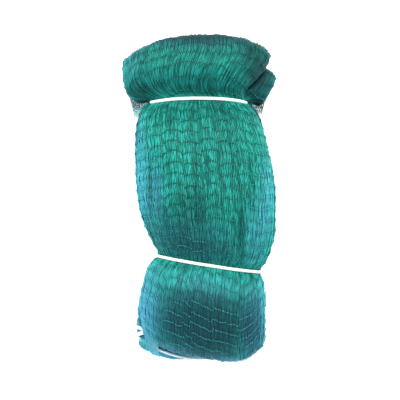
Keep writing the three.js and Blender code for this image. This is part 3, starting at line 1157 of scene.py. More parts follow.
def painted_light_and_shade(tree: bpy.types.NodeTree, colour: bpy.types.NodeSocket, blue: str) -> bpy.types.NodeSocket:
    """Turn a colour bluer and brighter or darker by the painted light and shade stored on the mesh.

    Args:
        tree: the material's node tree.
        colour: the even colour.
        blue: the colour of the painted bluish light.

    Returns:
        The colour with its painted light and shade.
    """
    share = add_node(tree, "ShaderNodeAttribute", {"attribute_name": "blue"})
    bluer = add_node(
        tree, "ShaderNodeMix", {"data_type": "RGBA", "7": linear_colour(blue)},
        {"0": share.outputs["Fac"], "6": colour},
    )
    brightness = add_node(tree, "ShaderNodeAttribute", {"attribute_name": "brightness"})
    uneven = add_node(
        tree, "ShaderNodeHueSaturation", links={"Value": brightness.outputs["Fac"], "Color": bluer.outputs[2]}
    )
    return uneven.outputs["Color"]


def finish_surface(tree: bpy.types.NodeTree, values: Values,
                   links: dict[str, bpy.types.NodeSocket]) -> None:
    """Add the shader and the output to a material.

    Args:
        tree: the material's node tree.
        values: the shader's numbers and colours that are the same all over.
        links: the outputs that drive the rest.
    """
    shader = add_node(tree, "ShaderNodeBsdfPrincipled", values, links)
    add_node(tree, "ShaderNodeOutputMaterial", links={"Surface": shader.outputs["BSDF"]})


WAVE_LENGTH = math.pi / 5  # the distance after which a wave texture of scale 1 repeats along an axis


@dataclass(frozen=True)
class TwistedNylonTwine:
    """Multifilament nylon, spun, dyed teal and twisted into fine twine. Drawn tight it has the satin gloss of
    silk: each twine shows one soft bright line along its length, in its own colour, and dulls where it bends
    away."""

    shade: str = "0a4a44"
    bright: str = "269d92"
    # the colour of the painted bluish light
    blue: str = "4b98b4"
    gloss: str = "6fdcd2"
    roughness: float = 0.45
    ior: float = 1.53
    specular: float = 0.22
    twist_mm: float = 9.5  # about four times the real twist, which is too fine to show
    twist_strength: float = 0.25
    twist_deep_mm: float = 0.1

    def material(self) -> bpy.types.Material:
        """Make the material, which mixes two shades by the tint stored on each twine, partly painted shade in
        the gaps between strands.

        Returns:
            The material.
        """
        material, tree = new_material("twisted_nylon_twine")
        tint = add_node(tree, "ShaderNodeAttribute", {"attribute_name": "tint"})
        colour = add_node(
            tree, "ShaderNodeMix",
            {"data_type": "RGBA", "6": linear_colour(self.shade), "7": linear_colour(self.bright)},
            {"0": tint.outputs["Fac"]},
        )
        place = add_node(tree, "ShaderNodeTexCoord")
        scale = WAVE_LENGTH / (self.twist_mm * MM)
        twist = add_node(
            tree, "ShaderNodeTexWave", {"wave_type": "BANDS", "bands_direction": "DIAGONAL", "Scale": scale},
            {"Vector": place.outputs["Object"]},
        )
        bump = add_node(
            tree, "ShaderNodeBump", {"Strength": self.twist_strength, "Distance": self.twist_deep_mm * MM},
            {"Height": twist.outputs["Fac"]},
        )
        finish_surface(
            tree,
            {"Roughness": self.roughness, "IOR": self.ior, "Specular IOR Level": self.specular,
             "Specular Tint": linear_colour(self.gloss)},
            {"Base Color": painted_light_and_shade(tree, colour.outputs[2], self.blue), "Normal": bump.outputs["Normal"]},
        )
        return material


@dataclass(frozen=True)
class NettingDepth:
    """The inner turns of the same nylon netting, seen between the outer twines: hundreds of fine twines,
    painted darker as the shade that falls between the outer twines, almost without gloss, and streaked along
    the net."""

    # Both shades are painted shade: darker than the twines' own colour.
    dark: str = "062f2b"
    light: str = "10584e"
    # the colour of the painted bluish light
    blue: str = "24506a"
    roughness: float = 0.62
    ior: float = 1.53
    specular: float = 0.1
    streak_mm: tuple[float, float] = (1.6, 26.0)  # two twines wide; one is too fine to show
    streak_span: tuple[float, float] = (0.3, 0.7)  # the noise values that turn fully dark and fully light
    bump_strength: float = 0.3
    bump_deep_mm: float = 0.12

    def material(self) -> bpy.types.Material:
        """Make the material, whose streaks follow the net's own coordinates.

        Returns:
            The material.
        """
        material, tree = new_material("netting_depth")
        across = add_node(tree, "ShaderNodeAttribute", {"attribute_name": "net_across"})
        along = add_node(tree, "ShaderNodeAttribute", {"attribute_name": "net_along"})
        scaled = [
            add_node(tree, "ShaderNodeMath", {"operation": "DIVIDE", "1": size}, {"0": source.outputs["Fac"]})
            for source, size in zip((across, along), self.streak_mm)
        ]
        place = add_node(
            tree, "ShaderNodeCombineXYZ", links={"X": scaled[0].outputs[0], "Y": scaled[1].outputs[0]}
        )
        streaks = add_node(
            tree, "ShaderNodeTexNoise", {"Scale": 1.0, "Detail": 3.0, "Roughness": 0.6},
            {"Vector": place.outputs["Vector"]},
        )
        contrast = add_node(
            tree, "ShaderNodeMapRange", {"From Min": self.streak_span[0], "From Max": self.streak_span[1]},
            {"Value": streaks.outputs["Fac"]},
        )
        colour = add_node(
            tree, "ShaderNodeMix",
            {"data_type": "RGBA", "6": linear_colour(self.dark), "7": linear_colour(self.light)},
            {"0": contrast.outputs["Result"]},
        )
        bump = add_node(
            tree, "ShaderNodeBump", {"Strength": self.bump_strength, "Distance": self.bump_deep_mm * MM},
            {"Height": contrast.outputs["Result"]},
        )
        finish_surface(
            tree, {"Roughness": self.roughness, "IOR": self.ior, "Specular IOR Level": self.specular},
            {"Base Color": painted_light_and_shade(tree, colour.outputs[2], self.blue), "Normal": bump.outputs["Normal"]},
        )
        return material


@dataclass(frozen=True)
class BraidedPolyesterCord:
    """Soft braided polyester tying cord, undyed: bright matt white, with a faint grey painted shade in the
    hollows of its braid."""

    white: str = "f7f8f5"
    # the grey of the painted shade in the braid's hollows
    hollow_shade: str = "c9cfcc"
    roughness: float = 0.75
    ior: float = 1.57
    scatter: float = 0.1
    fibre_mm: float = 0.35  # a strand of fibres; single fibres are too fine to show
    fibre_strength: float = 0.3
    fibre_deep_mm: float = 0.15

    def material(self) -> bpy.types.Material:
        """Make the material, which greys the braid's hollows as painted shade by a value stored on the mesh.

        Returns:
            The material.
        """
        material, tree = new_material("braided_polyester_cord")
        height = add_node(tree, "ShaderNodeAttribute", {"attribute_name": "braid"})
        colour = add_node(
            tree, "ShaderNodeMix",
            {"data_type": "RGBA", "6": linear_colour(self.hollow_shade), "7": linear_colour(self.white)},
            {"0": height.outputs["Fac"]},
        )
        place = add_node(tree, "ShaderNodeTexCoord")
        fibres = add_node(
            tree, "ShaderNodeTexNoise", {"Scale": 1 / (self.fibre_mm * MM), "Detail": 2.0},
            {"Vector": place.outputs["Object"]},
        )
        bump = add_node(
            tree, "ShaderNodeBump", {"Strength": self.fibre_strength, "Distance": self.fibre_deep_mm * MM},
            {"Height": fibres.outputs["Fac"]},
        )
        finish_surface(
            tree, {"Roughness": self.roughness, "IOR": self.ior, "Subsurface Weight": self.scatter},
            {"Base Color": colour.outputs[2], "Normal": bump.outputs["Normal"]},
        )
        return material


@dataclass(frozen=True)
class MattPaper:
    """Seamless white background paper lit from behind: matt, with a faint uneven tone."""

    white: str = "fbfcfc"
    grey: str = "f4f6f6"
    roughness: float = 0.9
    glow: float = 0.7
    patches: float = 3.0  # of the uneven tone, in each metre

    def material(self) -> bpy.types.Material:
        """Make the material.

        Returns:
            The material.
        """
        material, tree = new_material("matt_paper")
        place = add_node(tree, "ShaderNodeTexCoord")
        tone = add_node(
            tree, "ShaderNodeTexNoise", {"Scale": self.patches}, {"Vector": place.outputs["Object"]}
        )
        colour = add_node(
            tree, "ShaderNodeMix",
            {"data_type": "RGBA", "6": linear_colour(self.white), "7": linear_colour(self.grey)},
            {"0": tone.outputs["Fac"]},
        )
        finish_surface(
            tree,
            {"Roughness": self.roughness, "Emission Color": linear_colour(self.white),
             "Emission Strength": self.glow},
            {"Base Color": colour.outputs[2]},
        )
        return material


# Shapes shared by the pieces

def ring_quads(rings: int, sides: int, closed: bool = False) -> Array:
    """Number the corners of the quads between rings of points, where each ring closes on itself.

    Args:
        rings: the number of rings.
        sides: the number of points in each ring.
        closed: join the last ring to the first.

    Returns:
        The quads' corners, of shape (gaps between rings, sides, 4).
    """
    gaps = rings if closed else rings - 1
    first = np.arange(gaps)[:, None] * sides + np.arange(sides)
    beside = np.roll(first, -1, 1)
    return np.stack([first, beside, beside + sides, first + sides], -1) % (rings * sides)


def halved(quads: Array) -> Array:
    """Split quads into triangles."""
    quads = quads.reshape(-1, 4)
    return np.concatenate([quads[:, [0, 1, 2]], quads[:, [0, 2, 3]]])


def section_axes(ahead: Array, outward: Array) -> tuple[Array, Array]:
    """Turn rough directions along a path into the axes of its sections.

    Args:
        ahead: the direction along the path at each point.
        outward: a direction away from the net at each point.

    Returns:
        The direction outward, square to the path, and the one square to both, all of length one.
    """
    crosswise = unit(np.cross(ahead, outward))
    return unit(np.cross(crosswise, ahead)), crosswise


def sweep(path: Array, outward: Array, half_sizes: tuple[float, float], sides: int, closed: bool = False,
          relief: Array | None = None) -> tuple[Array, Array]:
    """Sweep an oval section along a path.

    Args:
        path: the middle line, of shape (n, 3).
        outward: the direction of the section's first half size at each point.
        half_sizes: half the section's size outward, and across that.
        sides: the number of sides.
        closed: join the last ring to the first, where otherwise both ends are capped.
        relief: how far each point of the surface is moved outward, of shape (n, sides).

    Returns:
        Points and triangles.
    """
    ahead = np.roll(path, -1, 0) - np.roll(path, 1, 0)
    if not closed:
        ahead[0], ahead[-1] = path[1] - path[0], path[-1] - path[-2]
    outward, crosswise = section_axes(ahead, outward)
    angle = np.arange(sides) * 2 * math.pi / sides
    grow = np.zeros((len(path), sides)) if relief is None else relief
    out = np.cos(angle) * (half_sizes[0] + grow)
    side = np.sin(angle) * (half_sizes[1] + grow)
    points = path[:, None] + outward[:, None] * out[..., None] + crosswise[:, None] * side[..., None]
    faces = [halved(ring_quads(len(path), sides, closed))]
    if not closed:
        fan = np.array([(0, i + 1, i) for i in range(1, sides - 1)])
        faces += [fan, fan[:, ::-1] + (len(path) - 1) * sides]
    return points.reshape(-1, 3), np.concatenate(faces)


PIPE_ANGLES = (82, 27, -27, -82)  # the corners of a fine twine's outer half, in degrees from outward


def half_pipe(path: Array, outward: Array, radius: float) -> tuple[Array, Array]:
    """Make the outer half of a fine twine, whose other half can't be seen.

    Args:
        path: the middle line.
        outward: the direction away from the net.
        radius: half the twine's thickness.

    Returns:
        Points, one for each of the corners at each point of the path, and triangles.
    """
    outward, crosswise = section_axes(np.gradient(path, axis=0), outward)
    angle = np.radians(PIPE_ANGLES)[:, None]
    points = path[:, None] + radius * (outward[:, None] * np.cos(angle) + crosswise[:, None] * np.sin(angle))
    corners = len(PIPE_ANGLES)
    first = (np.arange(len(path) - 1)[:, None] * corners + np.arange(corners - 1)).ravel()
    quads = np.stack([first, first + corners, first + corners + 1, first + 1], -1)
    return points.reshape(-1, 3), halved(quads)


def gather(parts: Iterable[tuple[Array, Array]]) -> tuple[Array, Array]:
    """Join several sets of points and faces into one.

    Args:
        parts: the points and the faces of each.

    Returns:
        All points and all faces.
    """
    points, faces, count = [], [], 0
    for part_points, part_faces in parts:
        points.append(part_points)
        faces.append(part_faces + count)
        count += len(part_points)
    return np.concatenate(points), np.concatenate(faces)


CURVE_DETAIL = 40  # how many points a curve is first drawn with for each place that it goes through


def curve_through(places: Sequence[Sequence[float]], step: float) -> Array:
    """Draw a smooth curve through some places, with points evenly apart.

    Args:
        places: the places in turn.
        step: the distance between the points.

    Returns:
        The points.
    """
    fixed = np.array(places, float)
    at = np.concatenate([[0], np.cumsum(np.sqrt(np.linalg.norm(np.diff(fixed, axis=0), axis=1)))])
    slope = np.gradient(fixed, at, axis=0)
    fine = np.linspace(0, at[-1], CURVE_DETAIL * len(fixed))
    i = np.clip(np.searchsorted(at, fine, side="right") - 1, 0, len(at) - 2)
    wide = (at[i + 1] - at[i])[:, None]
    return evenly(cubic(fixed, slope, i, wide, (fine - at[i])[:, None] / wide), step)


def evenly(path: Array, step: float) -> Array:
    """Place points evenly apart along an open path.

    Args:
        path: points of the path.
        step: about how far apart the new points lie.

    Returns:
        The new points.
    """
    length = np.concatenate([[0], np.cumsum(np.linalg.norm(np.diff(path, axis=0), axis=1))])
    places = np.linspace(0, length[-1], max(3, round(length[-1] / step) + 1))
    return np.stack([np.interp(places, length, path[:, axis]) for axis in range(path.shape[1])], -1)


def carried_outward(path: Array, start: Array) -> Array:
    """Carry a sideways direction along an open path without twisting it.

    Args:
        path: the points of the path.
        start: the direction at its first point.

    Returns:
        The direction at each point.
    """
    ahead = unit(np.gradient(path, axis=0))
    carried = [start]
    for way in ahead[1:]:
        carried.append(unit(carried[-1] - way * np.dot(carried[-1], way)))
    return np.array(carried)


def icosahedron(longest_edge: float = 1.1) -> tuple[Array, Array]:
    """Make the body with twenty equal sides whose corners lie one away from its middle.

    Args:
        longest_edge: corners that are no further apart than this are neighbours.

    Returns:
        Its points and triangles.
    """
    golden = (1 + math.sqrt(5)) / 2
    points = np.array([(a, b * golden, 0) for a in (-1, 1) for b in (-1, 1)], float)
    points = unit(np.concatenate([points, np.roll(points, 1, 1), np.roll(points, 2, 1)]))
    near = np.linalg.norm(points[:, None] - points[None], axis=-1) < longest_edge
    faces = []
    for i, j, k in itertools.combinations(range(len(points)), 3):
        if near[i, j] and near[j, k] and near[i, k]:
            outward = np.dot(np.cross(points[j] - points[i], points[k] - points[i]), points[i]) > 0
            faces.append((i, j, k) if outward else (k, j, i))
    return points, np.array(faces)


def knots_at(places: Array, lengthwise: Array, outward: Array,
             half_sizes: tuple[float, float, float]) -> tuple[Array, Array]:
    """Put a small rounded knot at each place.

    Args:
        places: the knots' middles.
        lengthwise: the direction of each knot's first half size.
        outward: the direction of its last one.
        half_sizes: half a knot's length, width and height.

    Returns:
        The points of each knot, and the triangles of one.
    """
    shape, faces = icosahedron()
    lengthwise = unit(lengthwise)
    crosswise = unit(np.cross(outward, lengthwise))
    axes = np.stack([lengthwise, crosswise, unit(np.cross(lengthwise, crosswise))], 1)
    return places[:, None] + np.einsum("sa,nad->nsd", shape * np.array(half_sizes), axes), faces


def dressed(piece: bpy.types.Object, material: bpy.types.Material, slot: str,
            *replaced: str) -> bpy.types.Object:
    """Give a piece its material and its place in the frame.

    Args:
        piece: the object.
        material: its material.
        slot: the record's material slot, which is not used.
        replaced: the nodes of the frame that it stands for.

    Returns:
        The same object.
    """
    piece.data.materials.append(material)
    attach(piece, "root")
    if replaced:
        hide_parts(*replaced)
    triangles = sum(len(face.vertices) - 2 for face in piece.data.polygons)
    log.info("%s: %d triangles", piece.name, triangles)
    return piece


@dataclass(frozen=True)
class PaintedLightArea:
    """A part of the netting painted darker or paler, or bluer, than the rest, as painted light and shade: its
    middle and half size on the plan, the brightness against the rest, the share of the painted bluish light
    and how far it climbs for each step to the right."""

    x: float
    y: float
    half_x: float
    half_y: float
    brightness: float
    blue: float = 0.0
    slant: float = 0.0
    edge: float = 1.5  # how sharply it ends

    def weight(self, points: Array) -> Array:
        """Give how strongly the area shows.

        Args:
            points: points of the netting.

        Returns:
            The strength at each, from 0 to 1.
        """
        off_x = (points[..., 0] - self.x) / self.half_x
        off_y = (points[..., 1] - self.y - self.slant * (points[..., 0] - self.x)) / self.half_y
        return np.exp(-((off_x**2 + off_y**2) ** self.edge))


# Painted light and shade: areas of the netting painted darker, paler or bluer than the rest, where light and
# shade fall on it.
PAINTED_LIGHT_AREAS = (
    PaintedLightArea(0, 215, 125, 42, 0.76, 0.0),  # the head
    # The rim of the head: painted shade.
    PaintedLightArea(0, 272, 150, 27, 0.15, 0.5),  # its rim
    PaintedLightArea(92, 225, 30, 40, 0.38, 0.1),
    PaintedLightArea(-118, 225, 22, 40, 0.85, 0.25),
    PaintedLightArea(-100, 175, 26, 22, 0.5),
    PaintedLightArea(0, 178, 100, 9, 0.75),  # where it meets the upper tie
    PaintedLightArea(118, 180, 36, 52, 0.36, 0.35),  # the lobe at the right of the head
    PaintedLightArea(0, 142, 85, 24, 0.75),  # the middle
    PaintedLightArea(-15, 60, 55, 85, 1.08),
    PaintedLightArea(-100, 20, 17, 110, 1.2, 0.5),
    PaintedLightArea(-80, 20, 5, 42, 0.6),
    PaintedLightArea(-72, 10, 14, 50, 0.95, 0.4),
    # Its crease: painted shade.
    PaintedLightArea(-6, 20, 2.5, 80, 0.5),  # its crease
    PaintedLightArea(45, 90, 22, 60, 0.76),
    PaintedLightArea(112, 10, 18, 70, 1.25, 0.35),
    PaintedLightArea(66, -50, 6, 45, 0.55),
    PaintedLightArea(92, -55, 20, 50, 1.0, 0.3),
    PaintedLightArea(-10, -10, 60, 30, 0.68),
    PaintedLightArea(-25, -55, 60, 35, 0.52, 0.2),
    # Above the middle tie: painted shade; below it: a painted highlight.
    PaintedLightArea(5, -82, 72, 22, 0.5, 0.15, -0.12),  # above the middle tie
    PaintedLightArea(5, -131, 100, 16, 1.25, 0.2, -0.16),  # below it
    # The dark lower section: painted shade.
    PaintedLightArea(5, -203, 84, 65, 0.2, 0.45, -0.1, 2.5),  # the dark lower section
    PaintedLightArea(86, -205, 18, 56, 0.42, 0.75, 0.0, 2.0),
    PaintedLightArea(-92, -184, 30, 70, 1.1, 0.7),
    PaintedLightArea(-50, -250, 36, 16, 1.0, 0.6),
    # The foot: painted bluish light.
    PaintedLightArea(-10, -275, 120, 20, 1.35, 0.75),  # the foot
    PaintedLightArea(104, -190, 9, 60, 1.2, 0.6),
    # The loose edge under the lobe: painted shade.
    PaintedLightArea(104, 158, 20, 18, 0.4, 0.2),  # the loose edge under the lobe
)
# The area where the knots' painted shadow is strongest.
KNOTS_CLEAR = PaintedLightArea(-25, 75, 75, 95, 1.0)  # where in the middle of the bundle the knots show clearly


def tones(points: Array) -> tuple[Array, Array]:
    """Work out the painted light and shade.

    Args:
        points: points of the netting.

    Returns:
        The painted brightness and the share of the painted bluish light at each.
    """
    brightness, green = np.ones(points.shape[:-1]), np.ones(points.shape[:-1])
    for area in PAINTED_LIGHT_AREAS:
        weight = area.weight(points)
        brightness *= 1 + (area.brightness - 1) * weight
        green *= 1 - area.blue * weight
    return brightness, 1 - green


def dressed_netting(piece: bpy.types.Object, points: Array, tint: Array,
                    material: bpy.types.Material) -> bpy.types.Object:
    """Give a piece of outer netting its tints, its painted light and shade, its material and its place in the
    frame.

    Args:
        piece: the object.
        points: its points.
        tint: the share of the brighter twine colour at each point.
        material: the twines' material.

    Returns:
        The same object.
    """
    brightness, blue = tones(points)
    store_values(piece, tint=tint, brightness=brightness, blue=blue)
    return dressed(piece, material, "netting")


# The netting

@dataclass(frozen=True)
class NetBody:
    """The inner turns of the folded net as one closed surface, seen between the outer twines."""

    bundle: Bundle
    columns: int = 236
    fine_step: float = 4.4
    coarse_step: float = 8.5
    relief: float = 0.5
    sink: float = 0.5

    def stations(self) -> Array:
        """Give the places along the net where the surface has a ring, closer together where it shows.

        Returns:
            The places in turn.
        """
        parts = []
        for stretch, start in zip(RUN, self.bundle.net.starts):
            shown = isinstance(stretch.part, Fold) or stretch.part == "front"
            steps = round(stretch.length / (self.fine_step if shown else self.coarse_step))
            parts.append(start + np.arange(steps) * stretch.length / steps)
        return np.concatenate(parts + [[RUN_LENGTH]])

    def build(self, material: bpy.types.Material) -> bpy.types.Object:
        """Make the piece.

        Args:
            material: the material of the inner turns.

        Returns:
            The piece, which stands for the frame's net.
        """
        run, ring = np.meshgrid(self.stations(), np.arange(self.columns) / self.columns, indexing="ij")
        passed = self.bundle.pleats.rows_passed(run, ring)
        lift = self.relief * self.bundle.clumps.strength(passed, ring) - self.sink
        points = self.bundle.surface(run, ring, lift)
        flat = points.reshape(-1, 3)
        ends = np.stack([flat[: self.columns].mean(0), flat[-self.columns :].mean(0)])
        around = np.arange(self.columns)
        after = np.roll(around, -1)
        near = np.stack([np.full(self.columns, len(flat)), after, around], -1)
        last = len(flat) - self.columns
        far = np.stack([np.full(self.columns, len(flat) + 1), last + around, last + after], -1)
        faces = np.concatenate([halved(ring_quads(*run.shape)), near, far])
        piece = mesh_object("net_body", np.concatenate([flat, ends]), faces)
        brightness, blue = tones(points)
        across = self.bundle.net.girth_place(ring)
        values = {"net_across": across, "net_along": run, "brightness": brightness, "blue": blue}
        store_values(piece, **{name: np.append(v, [v.flat[0], v.flat[-1]]) for name, v in values.items()})
        return dressed(piece, material, "netting", "net")


@dataclass(frozen=True)
class OuterNetting:
    """The outermost netting: its twines, drawn out lengthwise, and the rows of knots that tie each twine in
    turn to its neighbours at either side. A name and the span along the bundle make two pieces, one of twines
    and one of knots."""

    bundle: Bundle
    spans: tuple[tuple[str, float, float], ...] = (
        ("head", 180, BEYOND), ("upper", 35, 180), ("middle", -115, 35), ("lower", -BEYOND, -115),
    )
    twines: int = 380
    twine_radius: float = 0.42
    swing: float = 0.42
    steps_in_row: int = 4
    lift: float = 0.5
    wave: float = 0.3
    wave_late: float = 0.06  # how many rows past its knots a twine stands highest
    tint: float = 0.58
    tint_by_twine: float = 0.12
    # The tint by strand darkens the gaps between strands as painted shade; the tint by grain adds short
    # painted dark and bright dashes.
    tint_by_strand: float = 0.35
    tint_by_grain: float = 0.5
    shortest: float = 12.0
    first_cut: tuple[int, int] = (20, 60)  # the steps between which a long twine is first cut, by chance
    cut_every: int = 50
    last_cut: int = 4  # and the fewest steps that are left after the last cut
    knot_halves: tuple[float, float, float] = (1.2, 1.05, 0.8)
    knot_lift: float = 0.55
    knot_margin: float = 3
    knot_probe: float = 2
    knot_tint: tuple[float, float] = (0.5, 0.4)  # the middle tint and the most that a knot strays from it
    # Painted light on the knots: their darkness on bright netting is painted shadow, their paleness on dark
    # netting a painted highlight.
    knot_dark: float = 0.45  # knots are darker than bright netting
    knot_dark_at_ends: float = 0.45  # the share of that darkness in the head and the lower part
    knot_green: tuple[float, float] = (0.6, 0.3)  # the shares of blue between which that darkness sets in
    knot_pale: float = 0.75  # and paler than dark netting below the head
    knot_on_dark: tuple[float, float] = (0.55, 0.35)  # the brightness between which that paleness sets in
    seed: int = 5

    def ring_of(self, twine: Array, run: Array) -> Array:
        """Give the place of twines round the section.

        Args:
            twine: the twines' numbers.
            run: places along the net.

        Returns:
            The place round the section of each.
        """
        base = twine / self.twines
        passed = self.bundle.pleats.rows_passed(run, base)
        sway = self.swing * np.cos(math.pi * (passed + twine)) / self.twines
        return base + sway + self.bundle.clumps.sideways(passed, base) / self.bundle.net.around

    def rise_of(self, run: Array, ring: Array) -> Array:
        """Give how far twines stand off the pleated surface.

        Args:
            run: places along the net.
            ring: places round its section.

        Returns:
            The height at each place.
        """
        passed = self.bundle.pleats.rows_passed(run, ring)
        clump = self.bundle.clumps.strength(passed, ring)
        ripple = self.wave * np.cos(2 * math.pi * (passed - self.wave_late))
        return self.lift + self.bundle.clumps.lift * clump + ripple

    def build(self, material: bpy.types.Material) -> list[bpy.types.Object]:
        """Make the twines and the knots.

        Args:
            material: the twines' material.

        Returns:
            The pieces.
        """
        strands = {"twines": self._twines(), "knots": self._knots()}
        made = []
        for name, low, high in self.spans:
            for kind, parts in strands.items():
                chosen = [part for part in parts if low <= part[0][:, 1].mean() < high]
                points, faces = gather(part[:2] for part in chosen)
                piece = mesh_object(f"{name}_{kind}", points, faces)
                brightness, blue = tones(points)
                if kind == "knots":
                    brightness = self._knot_brightness(name, points, brightness, blue)
                tint = np.concatenate([part[2] for part in chosen])
                store_values(piece, tint=tint, brightness=brightness, blue=blue)
                made.append(dressed(piece, material, "netting"))
        return made

    def _knot_brightness(self, name: str, points: Array, brightness: Array, blue: Array) -> Array:
        """Turn the netting's brightness into that of its knots: painted shadow on bright netting, a painted
        highlight on dark netting.

        Args:
            name: which span of the bundle the knots are in.
            points: the knots' points.
            brightness: the netting's brightness there.
            blue: its share of the painted bluish light.

        Returns:
            The knots' brightness at each point.
        """
        clear = KNOTS_CLEAR.weight(points) if name in ("upper", "middle") else self.knot_dark_at_ends
        dark = brightness * (1 + (self.knot_dark - 1) * clear * smooth(*self.knot_green, blue))
        pale = 0 if name == "head" else smooth(*self.knot_on_dark, brightness)
        return dark + (self.knot_pale - dark) * pale

    def _twines(self) -> list[tuple[Array, Array, Array]]:
        """Make the exposed lengths of twine, cut so that each lies in one span of the bundle.

        Returns:
            The points, faces and tints of each.
        """
        step = ROW / self.steps_in_row
        stations = np.arange(step, RUN_LENGTH - step, step)
        run, twine = np.meshgrid(stations, np.arange(self.twines), indexing="ij")
        ring = self.ring_of(twine, run)
        path = self.bundle.surface(run, ring, self.rise_of(run, ring))
        normal = self.bundle.net.normals(run, ring)
        shown = self.bundle.is_open(run, ring)
        chance = np.random.default_rng(self.seed)
        own = chance.uniform(-1, 1, self.twines)
        passed = self.bundle.pleats.rows_passed(run, ring)
        tint = self.tint + self.tint_by_twine * own[twine]
        tint = tint + self.tint_by_strand * self.bundle.clumps.strength(passed, ring)
        tint = np.clip(tint + self.tint_by_grain * self.bundle.clumps.grain(passed, ring), 0, 1)
        made = []
        for j in range(self.twines):
            edges = np.flatnonzero(np.diff(np.concatenate([[0], shown[:, j].astype(int), [0]])))
            for start, stop in zip(edges[::2], edges[1::2]):
                if (stop - start) * step < self.shortest:
                    continue
                first = start + int(chance.integers(*self.first_cut))
                cuts = [start, *range(first, stop - self.last_cut, self.cut_every), stop - 1]
                for begin, end in zip(cuts, cuts[1:]):
                    part = slice(begin, end + 1)
                    points, faces = half_pipe(path[part, j], normal[part, j], self.twine_radius)
                    made.append((points, faces, np.repeat(tint[part, j], len(PIPE_ANGLES))))
        return made

    def _knots(self) -> list[tuple[Array, Array, Array]]:
        """Make the exposed knots.

        Returns:
            The points, faces and tints of each.
        """
        row, twine = np.meshgrid(np.arange(1, int(RUN_LENGTH / ROW)), np.arange(self.twines), indexing="ij")
        between = (twine + 0.5) / self.twines
        run = row * ROW
        for _ in range(2):
            run = row * ROW - self.bundle.pleats.row_shift(run, between)
        inside = (run > self.knot_margin) & (run < RUN_LENGTH - self.knot_margin)
        here = ((row + twine) % 2 == 0) & self.bundle.is_open(run, between) & inside
        run, twine = run[here], twine[here]
        ring = (self.ring_of(twine, run) + self.ring_of(twine + 1, run)) / 2
        rise = self.rise_of(run, ring) + self.knot_lift
        places, after, before = (
            self.bundle.surface(run + ahead, ring, rise) for ahead in (0, self.knot_probe, -self.knot_probe)
        )
        outward = self.bundle.net.normals(run, ring)
        points, faces = knots_at(places, after - before, outward, self.knot_halves)
        chance = np.random.default_rng(self.seed).uniform(-1, 1, len(run))
        tint = np.clip(self.knot_tint[0] + self.knot_tint[1] * chance, 0, 1)
        return [(own, faces, np.full(len(own), t)) for own, t in zip(points, tint)]


@dataclass(frozen=True)
class NettingOverTie:
    """The outermost turn of netting at the lower left, which lies taut over the first part of the end tie.
    Its twines start at the tops, given as places across and along the bundle."""

    left: float = -113
    right: float = -70
    tops: tuple[tuple[float, float], ...] = ((-113, -240), (-98, -235), (-91, -222), (-80, -228), (-70, -236))
    bottom: float = -284
    pitch: float = 0.8
    twine_radius: float = 0.5
    lift: float = 1.1
    probe: float = 1.5
    fewest: int = 6  # a line that meets what lies below in fewer places isn't made
    floor: float = 6  # what lies lower than this is left uncovered
    step: float = 3.5
    sway: float = 0.5
    sway_length: float = 5.5
    tint: tuple[float, float] = (0.5, 0.35)  # the middle tint and the most that a twine strays from it
    seed: int = 23

    def top_at(self, x: float) -> float:
        """Give where the twines start at one place across."""
        return float(np.interp(x, *zip(*self.tops)))

    def taut_line(self, under: BVHTree, x: float) -> Array | None:
        """Find the taut line over what lies below.

        Args:
            under: what lies below.
            x: the line's place across the bundle.

        Returns:
            The line's points from the head to the foot, or None where there is too little below.
        """
        above = 200
        hits = [
            under.ray_cast(Vector((x, float(y), above)), Vector((0, 0, -1)))[0]
            for y in np.arange(self.top_at(x), self.bottom, -self.probe)
        ]
        found = [(hit.y, hit.z) for hit in hits if hit is not None and hit.z > self.floor]
        if len(found) < self.fewest:
            return None
        hull: list[tuple[float, float]] = []
        for at, height in found:
            while len(hull) > 1:
                (y0, z0), (y1, z1) = hull[-2:]
                if (z1 - z0) * (y0 - at) > (height - z0) * (y0 - y1):
                    break
                hull.pop()
            hull.append((at, height))
        return np.array([(x, at, height + self.lift) for at, height in hull])

    def build(self, under: Sequence[bpy.types.Object], material: bpy.types.Material) -> bpy.types.Object:
        """Make the piece.

        Args:
            under: the pieces that it lies on.
            material: the twines' material.

        Returns:
            The piece.
        """
        points, faces = gather(mesh_in_mm(piece) for piece in under)
        tree = BVHTree.FromPolygons(points.tolist(), faces.tolist())
        chance = np.random.default_rng(self.seed)
        parts, tints = [], []
        for x in np.arange(self.left, self.right, self.pitch):
            line = self.taut_line(tree, float(x))
            if line is None:
                continue
            path = evenly(line, self.step)
            path[:, 0] += self.sway * np.sin(path[:, 1] / self.sway_length + chance.uniform(0, 6))
            outward = unit(np.cross(np.gradient(path, axis=0), np.array([1.0, 0.0, 0.0])))
            part = half_pipe(path, outward, self.twine_radius)
            tint = np.clip(self.tint[0] + self.tint[1] * chance.uniform(-1, 1), 0, 1)
            parts.append(part)
            tints.append(np.full(len(part[0]), tint))
        points, faces = gather(parts)
        piece = mesh_object("netting_over_tie", points, faces)
        return dressed_netting(piece, points, np.concatenate(tints), material)


